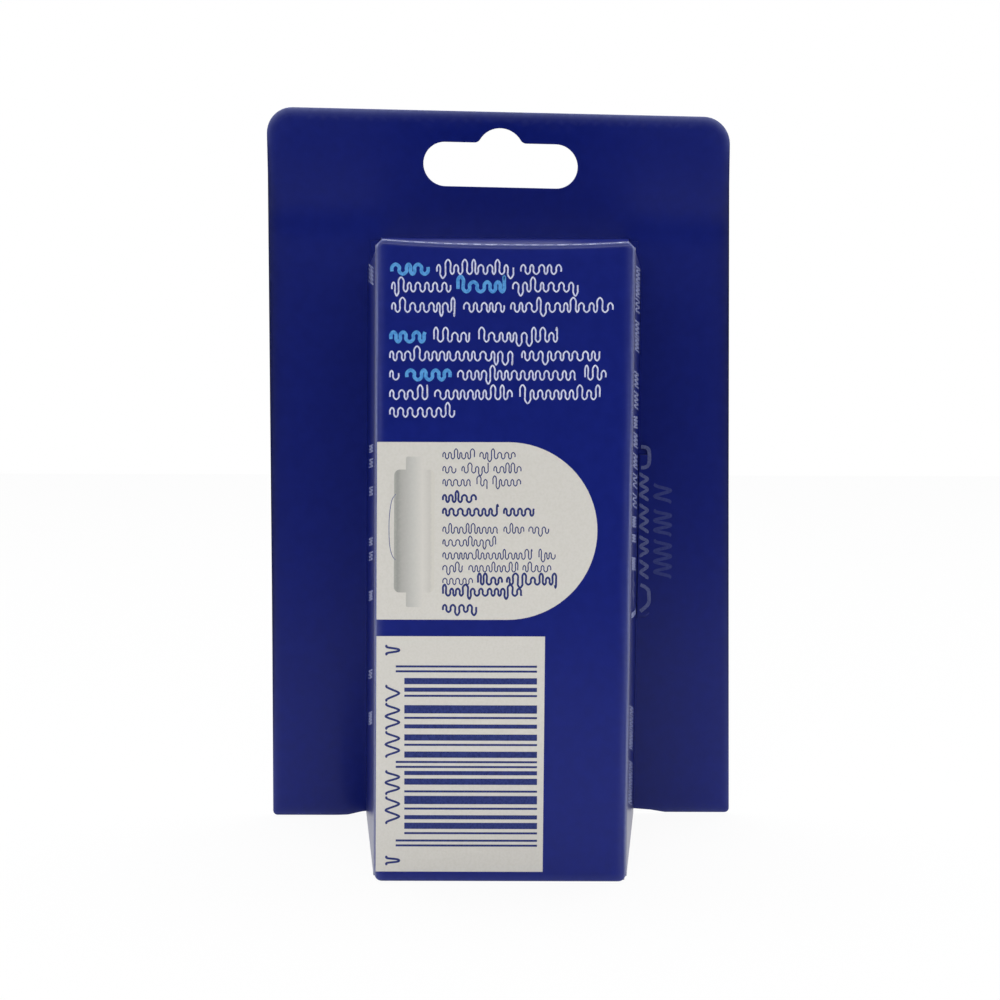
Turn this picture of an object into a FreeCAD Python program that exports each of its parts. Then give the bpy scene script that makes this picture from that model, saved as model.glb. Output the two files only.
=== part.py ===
import FreeCAD, Part

import math
import os

import Sketcher

# Hanging pack with a refillable floss dispenser inside.
# X runs to the right as the carton's printed back is seen, Y from that back to the header card,
# Z up. The origin is under the middle of the pack. All lengths are millimetres.

SIZES = {
    # header card, two plies glued together
    "card_width": 70.0,
    "card_height": 108.0,
    "card_ply": 0.45,
    "card_corner": 4.0,
    "card_foot_corner": 0.7,
    "relief_rise": 0.6,
    "relief_run": 3.6,
    "hang_slot_width": 23.4,
    "hang_slot_height": 6.6,
    "hang_slot_drop": 11.2,
    "hang_slot_shift": 0.3,
    "hang_hump_radius": 3.6,
    "hang_hump_rise": 2.2,
    "hang_hump_blend": 1.0,
    # tapered carton
    "carton_height": 89.0,
    "carton_depth": 40.0,
    "carton_shift": 0.8,
    "base_width": 41.5,
    "back_width": 35.5,
    "board": 0.45,
    "crease_gap": 0.1,
    "panel_inset": 0.3,
    "back_top_chamfer": 0.8,
    "back_foot_corner": 1.2,
    "top_panel_inset": 2.0,
    "wall_top_drop": 4.0,
    "perforation_pitch": 3.7,
    "perforation_cut": 2.4,
    "perforation_depth": 0.2,
    "flap_meeting_gap": 2.7,
    "flap_relief": 1.5,
    "flap_taper": 3.0,
    "flap_corner": 2.5,
    "seam_flap_width": 11.0,
    "end_tab_depth": 10.0,
    "end_tab_inset": 1.2,
    "end_tab_taper": 3.0,
    "tab_low": 31.1,
    "tab_height": 25.0,
    "tab_width": 1.85,
    "tab_corner": 0.8,
    # moulded case of the dispenser
    "case_width": 27.0,
    "case_depth": 25.0,
    "case_wall": 1.2,
    "case_floor": 1.4,
    "case_front_corner": 4.0,
    "case_rear_corner": 3.0,
    "case_edge_round": 0.8,
    "seat_gap": 0.35,
    "rest_gap": 0.05,
    "split_setback": 0.6,
    "split_gap": 0.1,
    "thumb_notch": 5.0,
    "cradle_thickness": 1.4,
    "cradle_setback": 1.0,
    "journal_gap": 0.06,
    # refill spool
    "winding_radius": 9.5,
    "winding_length": 57.0,
    "winding_chamfer": 1.2,
    "stub_radius": 4.0,
    "stub_chamfer": 0.4,
    "core_bore_radius": 2.7,
    "upper_stub": 6.4,
    "lower_stub": 7.0,
    "end_play": 0.1,
    # refill door
    "door_barrel_radius": 1.4,
    "door_barrel_stand": 0.4,
    "door_pin_radius": 0.7,
    "door_pin_grip": 4.0,
    "knuckle_gap": 0.15,
    "pin_gap": 0.05,
    "latch_length": 24.0,
    "latch_reach": 1.6,
    "latch_thickness": 0.8,
    "latch_root": 3.0,
    "rib_thickness": 1.0,
    "rib_spread": 2.2,
    "rib_gap": 0.3,
    "grip_pitch": 2.2,
    "grip_length": 11.0,
    "grip_width": 1.0,
    "grip_depth": 0.35,
    # head of the case, lid and hinge
    "head_height": 6.6,
    "lid_length": 12.0,
    "lid_wall": 1.0,
    "lid_rear_gap": 0.3,
    "lid_seat_gap": 0.1,
    "lid_round": 1.4,
    "lid_barrel_radius": 1.3,
    "lid_barrel_half": 7.0,
    "lid_pin_radius": 0.6,
    "ear_width": 2.8,
    "ear_gusset": 2.6,
    "shoulder_drop": 0.2,
    "thumb_lip_half": 4.5,
    "thumb_lip_reach": 1.2,
    "thumb_lip_height": 1.1,
    # outlet and cutter
    "outlet_setback": 3.6,
    "outlet_bore_radius": 0.6,
    "nozzle_radius": 2.3,
    "nozzle_height": 2.0,
    "nozzle_chamfer": 0.5,
    "peg_radius": 2.0,
    "peg_gap": 0.05,
    "insert_half_width": 7.5,
    "insert_front": 2.4,
    "insert_rear": 7.0,
    "insert_thickness": 1.2,
    "insert_corner": 1.5,
    "blade_half_width": 3.5,
    "blade_setback": 2.9,
    "blade_length": 3.8,
    "blade_thickness": 0.3,
    "blade_recess": 0.15,
    "tongue_rise": 0.8,
    "tongue_half_width": 1.3,
    "tongue_setback": 1.3,
    "tongue_point": 0.8,
    "tooth_pitch": 1.0,
    "tooth_depth": 0.4,
    # floss strand
    "floss_radius": 0.3,
    "floss_stand_off": 0.3,
    "floss_start_drop": 30.0,
    "floss_lead": 2.4,
    "floss_lift": 1.4,
    "floss_over": 1.8,
    "floss_tail": 2.8,
    "overrun": 1.0,
}

# proportions that are chosen by hand
HEADER_BEND_SHARE = 0.2
HEADER_LEAN_SHARE = 0.19
TOOTH_ROOT_SHARE = 0.25
GUIDE_BEND_SHARE = 0.45
MATCH_SHARE = 0.1
STRAIGHT_SHARE = 0.999999
GRIP_ROWS = 5

doc = FreeCAD.newDocument("floss_dispenser_pack")
sheet = doc.addObject("Spreadsheet::Sheet", "Sizes")
for row, (alias, number) in enumerate(SIZES.items(), 1):
    sheet.set(f"A{row}", alias)
    sheet.set(f"B{row}", str(number))
    sheet.setAlias(f"B{row}", alias)
doc.recompute()


def size(expression):
    """Number that an expression over the sheet gives."""
    return float(sheet.evalExpression(expression))


# Places that several pieces share, as expressions over the sheet.
BACK_Y = "(-(Sizes.carton_depth + 2 * Sizes.card_ply) / 2)"
CARD_Y = f"({BACK_Y} + Sizes.carton_depth)"
LEAN = "((Sizes.base_width - Sizes.back_width) / 2 / Sizes.carton_depth)"
BOARD_RUN = f"(Sizes.board * sqrt(1 + {LEAN}^2))"
FLAP_TOP_Z = "(Sizes.carton_height - Sizes.board)"
HEADER_RISE = "(Sizes.card_height - Sizes.carton_height)"
HEADER_BEND_RADIUS = f"({HEADER_RISE} * {HEADER_BEND_SHARE} / {HEADER_LEAN_SHARE})"
HEADER_LEAN_COSINE = f"sqrt(1 - {HEADER_LEAN_SHARE}^2)"


def wall_x(y, inset="0"):
    """Half width of the carton's outside at a depth, less an inset."""
    return f"(Sizes.back_width / 2 + ({y} - {BACK_Y}) * {LEAN} - {inset})"


def wall_top_z(y, below="0"):
    """Height of the side walls' top crease at a depth, less a distance below it."""
    return f"({FLAP_TOP_Z} - ({y} - {BACK_Y}) * Sizes.wall_top_drop / Sizes.carton_depth - {below})"


CASE_REAR_Y = f"({CARD_Y} - 2 * Sizes.board - Sizes.seat_gap)"
CASE_FRONT_Y = f"({CASE_REAR_Y} - Sizes.case_depth)"
SPLIT_Y = f"({CASE_FRONT_Y} + Sizes.case_front_corner + Sizes.split_setback)"
SPOOL_Y = f"(({CASE_FRONT_Y} + {CASE_REAR_Y}) / 2)"
CASE_BASE_Z = "(2 * Sizes.board + Sizes.rest_gap)"
FLOOR_Z = f"({CASE_BASE_Z} + Sizes.case_floor)"
SPOOL_BASE_Z = f"({FLOOR_Z} + Sizes.end_play)"
SPOOL_LENGTH = "(Sizes.lower_stub + Sizes.winding_length + Sizes.upper_stub)"
BAY_TOP_Z = f"({SPOOL_BASE_Z} + {SPOOL_LENGTH} + Sizes.end_play)"
DECK_Z = f"({BAY_TOP_Z} + Sizes.case_floor)"
LID_TOP_Z = f"({DECK_Z} + Sizes.head_height)"
LID_AXIS_Y = f"({CASE_FRONT_Y} + Sizes.lid_length)"
LID_AXIS_Z = f"({LID_TOP_Z} - Sizes.lid_barrel_radius)"
SHOULDER_Z = f"({LID_AXIS_Z} - Sizes.shoulder_drop)"
DOOR_AXIS_X = "(-(Sizes.case_width / 2 + Sizes.door_barrel_stand))"
OUTLET_Y = f"({CASE_FRONT_Y} + Sizes.outlet_setback)"
INSERT_TOP_Z = f"({DECK_Z} + Sizes.insert_thickness)"
BLADE_Z = f"({INSERT_TOP_Z} - Sizes.blade_recess)"
BLADE_FRONT_Y = f"({OUTLET_Y} + Sizes.blade_setback)"
BLADE_REAR_Y = f"({BLADE_FRONT_Y} + Sizes.blade_length)"
HALF_CASE = "(Sizes.case_width / 2)"
EAR_OUTER_X = "(Sizes.lid_barrel_half + Sizes.knuckle_gap + Sizes.ear_width)"
LOWER_CRADLE_Z = f"({SPOOL_BASE_Z} + (Sizes.lower_stub - Sizes.cradle_thickness) / 2)"
UPPER_CRADLE_Z = f"({BAY_TOP_Z} - Sizes.end_play - (Sizes.upper_stub + Sizes.cradle_thickness) / 2)"

pieces = []


def new_body(label, shift="Sizes.carton_shift"):
    """Body of one piece, moved sideways with the carton unless told otherwise."""
    body = doc.addObject("PartDesign::Body", label)
    body.Label = label
    body.setExpression("Placement.Base.x", shift)
    pieces.append(body)
    return body


def sketch_on(body, name, role, offset="0"):
    """Sketch on one of the body's own origin planes, moved along that plane's normal."""
    sketch = body.newObject("Sketcher::SketchObject", f"{body.Label}_{name}")
    plane = next(item for item in body.Origin.OriginFeatures if item.Role == role)
    sketch.AttachmentSupport = [(plane, "")]
    sketch.MapMode = "FlatFace"
    sketch.setExpression("AttachmentOffset.Base.z", offset)
    return sketch


def bind(sketch, kind, constraint_name, expression, *where):
    """Dimension of a sketch, bound to an expression."""
    index = sketch.addConstraint(Sketcher.Constraint(kind, *where, size(expression)))
    sketch.renameConstraint(index, constraint_name)
    sketch.setExpression(f"Constraints.{constraint_name}", expression)


def draw_outline(sketch, corners, rounds=None, hollows=()):
    """Closed outline through corners given as pairs of expressions, run anticlockwise.

    rounds gives an arc's radius for each edge, by its number, that isn't straight. An arc
    bulges outwards unless hollows names its edge, which then runs from its end to its start.
    """
    rounds = rounds or {}
    first = sketch.GeometryCount
    count = len(corners)
    places = [FreeCAD.Vector(size(across), size(along), 0) for across, along in corners]
    for index in range(count):
        start, end = places[index], places[(index + 1) % count]
        edge = Part.LineSegment(start, end)
        if index in rounds:
            half_chord = (end - start) / 2
            radius = size(rounds[index])
            rise = radius - math.sqrt(radius**2 - half_chord.Length**2)
            outwards = FreeCAD.Vector(half_chord.y, -half_chord.x, 0).normalize()
            if index in hollows:
                edge = Part.Arc(end, start + half_chord - outwards * rise, start)
            else:
                edge = Part.Arc(start, start + half_chord + outwards * rise, end)
        sketch.addGeometry(edge, False)
    start_points = [2 if index in hollows else 1 for index in range(count)]
    for index in range(count):
        following = (index + 1) % count
        end_point = 3 - start_points[index]
        sketch.addConstraint(Sketcher.Constraint(
            "Coincident", first + index, end_point, first + following, start_points[following]))
    for index, (across, along) in enumerate(corners):
        edge = first + index
        bind(sketch, "DistanceX", f"across{edge}", across, -1, 1, edge, start_points[index])
        bind(sketch, "DistanceY", f"along{edge}", along, -1, 1, edge, start_points[index])
    for index, radius in rounds.items():
        bind(sketch, "Radius", f"radius{first + index}", radius, first + index)


def draw_rounded_front(sketch, half, front, rear, corner):
    """Outline with two rounded front corners and a square rear, even about the middle."""
    draw_outline(sketch, [
        (f"-({half} - {corner})", front),
        (f"{half} - {corner}", front),
        (half, f"{front} + {corner}"),
        (half, rear),
        (f"-{half}", rear),
        (f"-{half}", f"{front} + {corner}"),
    ], {1: corner, 5: corner})


def draw_box(sketch, low_across, high_across, low_along, high_along):
    """Rectangle between two pairs of expressions."""
    draw_outline(sketch, [
        (low_across, low_along),
        (high_across, low_along),
        (high_across, high_along),
        (low_across, high_along),
    ])


def draw_circle(sketch, across, along, radius):
    """Circle with its centre and radius given as expressions."""
    index = sketch.GeometryCount
    centre = FreeCAD.Vector(size(across), size(along), 0)
    sketch.addGeometry(Part.Circle(centre, FreeCAD.Vector(0, 0, 1), size(radius)), False)
    bind(sketch, "DistanceX", f"across{index}", across, -1, 1, index, 3)
    bind(sketch, "DistanceY", f"along{index}", along, -1, 1, index, 3)
    bind(sketch, "Radius", f"radius{index}", radius, index)


def pad(body, sketch, length, both_ways=False, backwards=False):
    """Pad of a sketch, along its plane's normal unless it runs backwards or both ways."""
    feature = body.newObject("PartDesign::Pad", f"{sketch.Label}_pad")
    feature.Profile = sketch
    feature.setExpression("Length", length)
    feature.Midplane = both_ways
    feature.Reversed = backwards
    doc.recompute()
    return feature


def pocket(body, sketch, length, both_ways=False, upwards=True):
    """Pocket of a sketch, upwards meaning along its plane's normal. It has to remove material."""
    before = body.Shape.Volume
    feature = body.newObject("PartDesign::Pocket", f"{sketch.Label}_pocket")
    feature.Profile = sketch
    feature.setExpression("Length", length)
    feature.Midplane = both_ways
    feature.Reversed = upwards
    doc.recompute()
    if body.Shape.Volume >= before:
        raise RuntimeError(f"{feature.Label} removes nothing")
    return feature


def edges_of(feature, wanted):
    """Names of a feature's edges that a test on the edge picks."""
    edges = enumerate(feature.Shape.Edges, 1)
    return [f"Edge{number}" for number, edge in edges if wanted(edge)]


def close(first, second):
    """Whether two lengths are the same place on the model."""
    return abs(first - second) < size("Sizes.crease_gap") * MATCH_SHARE


def runs_along(edge, axis):
    """Whether a straight edge runs along an axis of the frame, 0 to 2."""
    if edge.Curve.TypeId != "Part::GeomLine":
        return False
    return abs(edge.Curve.Direction[axis]) > STRAIGHT_SHARE


def round_edges(body, feature, kind, name, wanted, reach):
    """Fillet or Chamfer on the edges that a test picks, its size bound to an expression."""
    chosen = edges_of(feature, wanted)
    if not chosen:
        raise RuntimeError(f"{body.Label} {name} finds no edge")
    finish = body.newObject(f"PartDesign::{kind}", f"{body.Label}_{name}")
    finish.Base = (feature, chosen)
    finish.setExpression("Radius" if kind == "Fillet" else "Size", reach)
    doc.recompute()
    return finish


# Header card. Each ply is one die-cut sheet with rounded shoulders and a euro hang hole: a slot
# with round ends and a hump. The header bends forward above the carton and leans on straight
# from there. The foot is stepped up where the carton stands in front of it.

def bent_face(face_y):
    """Corners of one face of the bent header, from the bend's start to the top edge."""
    radius = f"({face_y} - {CARD_Y} + {HEADER_BEND_RADIUS})"
    bend_end_y = f"({face_y} - {radius} * (1 - {HEADER_LEAN_COSINE}))"
    bend_end_z = f"(Sizes.carton_height + {radius} * {HEADER_LEAN_SHARE})"
    lean = f"({HEADER_LEAN_SHARE} / {HEADER_LEAN_COSINE})"
    top_y = f"({bend_end_y} - (Sizes.card_height - {bend_end_z}) * {lean})"
    return radius, [
        (face_y, "Sizes.carton_height"),
        (bend_end_y, bend_end_z),
        (top_y, "Sizes.card_height"),
    ]


def card_ply(label, rear_y):
    body = new_body(label, "0")
    half = "(Sizes.card_width / 2)"
    front_y = f"({rear_y} + Sizes.card_ply)"
    front_radius, front_face = bent_face(front_y)
    rear_radius, rear_face = bent_face(rear_y)
    profile = sketch_on(body, "profile", "YZ_Plane")
    draw_outline(
        profile, [(rear_y, "0"), (front_y, "0")] + front_face + rear_face[::-1],
        {2: front_radius, 6: rear_radius}, [6])
    sheet_pad = pad(body, profile, "Sizes.card_width", both_ways=True)
    through = f"2 * ({HEADER_RISE} + Sizes.card_ply)"

    corner_low = "Sizes.card_height - Sizes.card_corner"
    corner_in = f"({half} - Sizes.card_corner)"
    beside = f"({half} + Sizes.overrun)"
    above = "Sizes.card_height + Sizes.overrun"
    shoulders = sketch_on(body, "shoulders", "XZ_Plane", f"-{rear_y}")
    draw_outline(shoulders, [
        (corner_in, "Sizes.card_height"),
        (half, corner_low),
        (beside, corner_low),
        (beside, above),
        (corner_in, above),
    ], {0: "Sizes.card_corner"}, [0])
    draw_outline(shoulders, [
        (f"-{half}", corner_low),
        (f"-{corner_in}", "Sizes.card_height"),
        (f"-{corner_in}", above),
        (f"-{beside}", above),
        (f"-{beside}", corner_low),
    ], {0: "Sizes.card_corner"}, [0])
    rounded = pocket(body, shoulders, through, both_ways=True)
    round_edges(
        body, rounded, "Fillet", "feet",
        lambda edge: runs_along(edge, 1) and close(edge.CenterOfMass.z, 0),
        "Sizes.card_foot_corner")

    step_left = "(Sizes.carton_shift - Sizes.base_width / 2)"
    step_right = "(Sizes.carton_shift + Sizes.base_width / 2)"
    relief = sketch_on(body, "relief", "XZ_Plane", f"-{rear_y}")
    draw_outline(relief, [
        (f"{step_left} - Sizes.relief_run", "0"),
        (f"{step_left} - Sizes.relief_run", "-Sizes.overrun"),
        (f"{step_right} + Sizes.relief_run", "-Sizes.overrun"),
        (f"{step_right} + Sizes.relief_run", "0"),
        (step_right, "Sizes.relief_rise"),
        (step_left, "Sizes.relief_rise"),
    ])
    pocket(body, relief, through, both_ways=True)

    end_radius = "(Sizes.hang_slot_height / 2)"
    slot_low = "(Sizes.card_height - Sizes.hang_slot_drop)"
    slot_top = f"({slot_low} + Sizes.hang_slot_height)"
    slot_reach = f"(Sizes.hang_slot_width / 2 - {end_radius})"
    slot = sketch_on(body, "slot", "XZ_Plane", f"-{rear_y}")
    draw_box(
        slot, f"Sizes.hang_slot_shift - {slot_reach}", f"Sizes.hang_slot_shift + {slot_reach}",
        slot_low, slot_top)
    pocket(body, slot, through, both_ways=True)
    slot_ends = sketch_on(body, "slot_ends", "XZ_Plane", f"-{rear_y}")
    for side in ("-1", "1"):
        draw_circle(
            slot_ends, f"Sizes.hang_slot_shift + {side} * {slot_reach}",
            f"{slot_low} + {end_radius}", end_radius)
    pocket(body, slot_ends, through, both_ways=True)

    # the hump runs into the slot's top edge on both sides over a small blend
    hump_reach = "(Sizes.hang_hump_radius + Sizes.hang_hump_blend)"
    blend_rise = "(Sizes.hang_hump_blend + Sizes.hang_hump_radius - Sizes.hang_hump_rise)"
    blend_run = f"sqrt({hump_reach}^2 - {blend_rise}^2)"
    touch_run = f"({blend_run} * Sizes.hang_hump_radius / {hump_reach})"
    touch_z = (f"({slot_top} + Sizes.hang_hump_blend"
               f" - {blend_rise} * Sizes.hang_hump_blend / {hump_reach})")
    hump = sketch_on(body, "hump", "XZ_Plane", f"-{rear_y}")
    draw_outline(hump, [
        (f"Sizes.hang_slot_shift - {blend_run}", f"{slot_low} + {end_radius}"),
        (f"Sizes.hang_slot_shift + {blend_run}", f"{slot_low} + {end_radius}"),
        (f"Sizes.hang_slot_shift + {blend_run}", slot_top),
        (f"Sizes.hang_slot_shift + {touch_run}", touch_z),
        (f"Sizes.hang_slot_shift - {touch_run}", touch_z),
        (f"Sizes.hang_slot_shift - {blend_run}", slot_top),
    ], {2: "Sizes.hang_hump_blend", 3: "Sizes.hang_hump_radius", 4: "Sizes.hang_hump_blend"}, [2, 4])
    pocket(body, hump, through, both_ways=True)


card_ply("hang_card_back", CARD_Y)
card_ply("hang_card_front", f"({CARD_Y} + Sizes.card_ply)")


# Carton panels. Each is one flat panel of folding boxboard, mitred at the carton's two rear
# creases, so that the back panel and right wall can swing open about the outer crease lines.
# The side walls' top creases slope down towards the card.

def upright_panel(label, corners, low_z, high_z):
    body = new_body(label)
    outline = sketch_on(body, "outline", "XY_Plane", low_z)
    draw_outline(outline, corners)
    return body, pad(body, outline, f"{high_z} - {low_z}")


def cut_above_slope(body, name, below="0"):
    """Takes away what stands above the side walls' sloping top crease."""
    end_y = f"({CARD_Y} + Sizes.overrun)"
    wedge = sketch_on(body, name, "YZ_Plane")
    draw_outline(wedge, [
        (BACK_Y, wall_top_z(BACK_Y, below)),
        (end_y, wall_top_z(end_y, below)),
        (end_y, f"{FLAP_TOP_Z} + Sizes.overrun"),
        (BACK_Y, f"{FLAP_TOP_Z} + Sizes.overrun"),
    ])
    pocket(body, wedge, "2 * Sizes.base_width", both_ways=True)


def side_wall(label, side, front_y):
    inner_back_y = f"({BACK_Y} + Sizes.board)"
    body, _ = upright_panel(label, [
        (f"{side} * {wall_x(BACK_Y)}", BACK_Y),
        (f"{side} * {wall_x(front_y)}", front_y),
        (f"{side} * {wall_x(front_y, BOARD_RUN)}", front_y),
        (f"{side} * {wall_x(inner_back_y, BOARD_RUN)}", inner_back_y),
    ], "Sizes.board", FLAP_TOP_Z)
    cut_above_slope(body, "top_slope")


side_wall("left_wall", "-1", CARD_Y)
side_wall("right_wall", "1", f"({CARD_Y} - Sizes.crease_gap)")

front_inner_y = f"({CARD_Y} - Sizes.board)"
front_inset = f"({BOARD_RUN} + Sizes.crease_gap)"
upright_panel("carton_front_panel", [
    (f"-{wall_x(front_inner_y, BOARD_RUN)}", front_inner_y),
    (wall_x(front_inner_y, front_inset), front_inner_y),
    (wall_x(CARD_Y, front_inset), CARD_Y),
    (f"-{wall_x(CARD_Y, BOARD_RUN)}", CARD_Y),
], "Sizes.board", FLAP_TOP_Z)

seam_back_y = f"({front_inner_y} - Sizes.seam_flap_width)"
seam_inset = f"({BOARD_RUN} + Sizes.crease_gap)"
seam_inner_inset = f"(2 * {BOARD_RUN} + Sizes.crease_gap)"
seam_end_gap = "(2 * Sizes.board + Sizes.crease_gap)"
seam_body, _ = upright_panel("side_glue_flap", [
    (wall_x(seam_back_y, seam_inset), seam_back_y),
    (wall_x(front_inner_y, seam_inset), front_inner_y),
    (wall_x(front_inner_y, seam_inner_inset), front_inner_y),
    (wall_x(seam_back_y, seam_inner_inset), seam_back_y),
], seam_end_gap, f"(Sizes.carton_height - {seam_end_gap})")
cut_above_slope(seam_body, "top_slope", "(Sizes.board + Sizes.crease_gap)")


# Back panel, the carton's printed face. Its foot corners are rounded, its top corners clipped,
# and both its creases with the end panels are perforated so that it tears free as a door.

def back_panel():
    body = new_body("back_panel")
    inner_y = f"({BACK_Y} + Sizes.board)"
    half = "(Sizes.back_width / 2 - Sizes.crease_gap)"
    top = "Sizes.carton_height"
    face = sketch_on(body, "face", "XZ_Plane", f"-{inner_y}")
    draw_outline(face, [
        (f"-{half}", "0"),
        (half, "0"),
        (half, f"{top} - Sizes.back_top_chamfer"),
        (f"{half} - Sizes.back_top_chamfer", top),
        (f"-({half} - Sizes.back_top_chamfer)", top),
        (f"-{half}", f"{top} - Sizes.back_top_chamfer"),
    ])
    plate = pad(body, face, "Sizes.board")
    round_edges(
        body, plate, "Fillet", "foot_corners",
        lambda edge: runs_along(edge, 1) and close(edge.CenterOfMass.z, 0),
        "Sizes.back_foot_corner")
    mitres = sketch_on(body, "mitres", "XY_Plane")
    mitre_x = wall_x(inner_y, f"({BOARD_RUN} + Sizes.crease_gap)")
    for side in ("-1", "1"):
        draw_outline(mitres, [
            (f"{side} * {half}", BACK_Y),
            (f"{side} * ({half} + Sizes.overrun)", BACK_Y),
            (f"{side} * ({half} + Sizes.overrun)", inner_y),
            (f"{side} * {mitre_x}", inner_y),
        ])
    pocket(body, mitres, top)

    nicks = int(size("Sizes.back_width / Sizes.perforation_pitch")) - 1
    cuts = sketch_on(body, "perforation", "XY_Plane", "Sizes.carton_height")
    for index in range(nicks):
        centre = f"({index} - ({nicks} - 1) / 2) * Sizes.perforation_pitch"
        draw_box(
            cuts, f"{centre} - Sizes.perforation_cut / 2", f"{centre} + Sizes.perforation_cut / 2",
            f"{BACK_Y} + Sizes.board / 2", f"{inner_y} + Sizes.overrun")
    pocket(body, cuts, "Sizes.perforation_depth", upwards=False)
    return body


back_panel()


# End panels, dust flaps and glue tabs. An end panel closes each end, the top one only as wide as
# the back panel's clipped top edge. Inside it two dust flaps fold in from the side walls, at the
# top on the walls' slope, and its tab is glued to the inside of the front panel.

PANEL_REAR_Y = f"({BACK_Y} + Sizes.board + Sizes.crease_gap)"


def end_panel(label, low_z, rear_half, front_half):
    body = new_body(label)
    outline = sketch_on(body, "outline", "XY_Plane", low_z)
    draw_outline(outline, [
        (f"-{rear_half}", PANEL_REAR_Y),
        (rear_half, PANEL_REAR_Y),
        (front_half, CARD_Y),
        (f"-{front_half}", CARD_Y),
    ])
    pad(body, outline, "Sizes.board")


def dust_flap(label, side, low_z, tall="Sizes.board"):
    body = new_body(label)
    inset = f"({BOARD_RUN} + Sizes.crease_gap)"
    rear_y = f"({PANEL_REAR_Y} + Sizes.flap_relief)"
    front_y = f"({CARD_Y} - 2 * Sizes.board - Sizes.crease_gap)"
    tip_x = "(Sizes.flap_meeting_gap / 2)"
    outline = sketch_on(body, "outline", "XY_Plane", low_z)
    draw_outline(outline, [
        (f"{side} * {wall_x(rear_y, inset)}", rear_y),
        (f"{side} * {wall_x(front_y, inset)}", front_y),
        (f"{side} * {tip_x}", f"{front_y} - Sizes.flap_taper"),
        (f"{side} * {tip_x}", f"{rear_y} + Sizes.flap_taper"),
    ])
    plate = pad(body, outline, tall)
    round_edges(
        body, plate, "Fillet", "free_corners",
        lambda edge: runs_along(edge, 2) and close(abs(edge.CenterOfMass.x), size(tip_x)),
        "Sizes.flap_corner")
    return body


def sloping_dust_flap(label, side):
    """Dust flap that follows the slope of its wall's top crease."""
    lowest = wall_top_z(CARD_Y, "Sizes.board")
    body = dust_flap(label, side, lowest, f"({FLAP_TOP_Z} - {lowest})")
    cut_above_slope(body, "upper_slope")
    wedge = sketch_on(body, "lower_slope", "YZ_Plane")
    draw_outline(wedge, [
        (BACK_Y, f"{lowest} - Sizes.overrun"),
        (CARD_Y, f"{lowest} - Sizes.overrun"),
        (CARD_Y, wall_top_z(CARD_Y, "Sizes.board")),
        (BACK_Y, wall_top_z(BACK_Y, "Sizes.board")),
    ])
    pocket(body, wedge, "2 * Sizes.base_width", both_ways=True)


def end_glue_tab(label, fold_z, free_z):
    body = new_body(label)
    inner_y = f"({CARD_Y} - 2 * Sizes.board)"
    half = f"({wall_x(inner_y, f'(2 * {BOARD_RUN} + Sizes.crease_gap)')} - Sizes.end_tab_inset)"
    outline = sketch_on(body, "outline", "XZ_Plane", f"-{inner_y}")
    draw_outline(outline, [
        (f"-{half}", fold_z),
        (half, fold_z),
        (f"{half} - Sizes.end_tab_taper", free_z),
        (f"-({half} - Sizes.end_tab_taper)", free_z),
    ])
    pad(body, outline, "Sizes.board", backwards=True)


end_panel(
    "top_panel", FLAP_TOP_Z, "(Sizes.back_width / 2 - Sizes.crease_gap - Sizes.back_top_chamfer)",
    wall_x(CARD_Y, "Sizes.top_panel_inset"))
end_panel(
    "bottom_panel", "0", wall_x(PANEL_REAR_Y, "Sizes.panel_inset"), wall_x(CARD_Y, "Sizes.panel_inset"))
for name, side in (("left", "-1"), ("right", "1")):
    sloping_dust_flap(f"top_dust_flap_{name}", side)
    dust_flap(f"bottom_dust_flap_{name}", side, "Sizes.board")
end_glue_tab("top_glue_tab", FLAP_TOP_Z, f"({FLAP_TOP_Z} - Sizes.end_tab_depth)")
end_glue_tab("bottom_glue_tab", "Sizes.board", "(Sizes.board + Sizes.end_tab_depth)")


# Opening tab: a narrow foot of the right wall, turned out flat against the card. A finger lifts
# it to tear the wall away from the seam.

def opening_tab():
    body = new_body("opening_tab")
    front_y = f"({CARD_Y} - Sizes.crease_gap)"
    root_x = f"({wall_x(CARD_Y)} + Sizes.crease_gap)"
    outline = sketch_on(body, "outline", "XZ_Plane", f"-{front_y}")
    draw_box(
        outline, root_x, f"{root_x} + Sizes.tab_width",
        "Sizes.tab_low", "Sizes.tab_low + Sizes.tab_height")
    plate = pad(body, outline, "Sizes.board")
    tip_x = size(f"{root_x} + Sizes.tab_width")
    round_edges(
        body, plate, "Fillet", "free_corners",
        lambda edge: runs_along(edge, 1) and close(edge.CenterOfMass.x, tip_x), "Sizes.tab_corner")


opening_tab()


# Dispenser case: one moulding with a floor, a deck, a shoulder behind the lid, side and rear
# walls, two cradles whose notches carry the refill's stubs, and the knuckles of both hinges.

def upright_edge_at(x, y):
    """Test for upright edges at a place, both sides of the middle plane."""
    return lambda edge: (runs_along(edge, 2)
                         and close(abs(edge.CenterOfMass.x), x) and close(edge.CenterOfMass.y, y))


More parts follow.
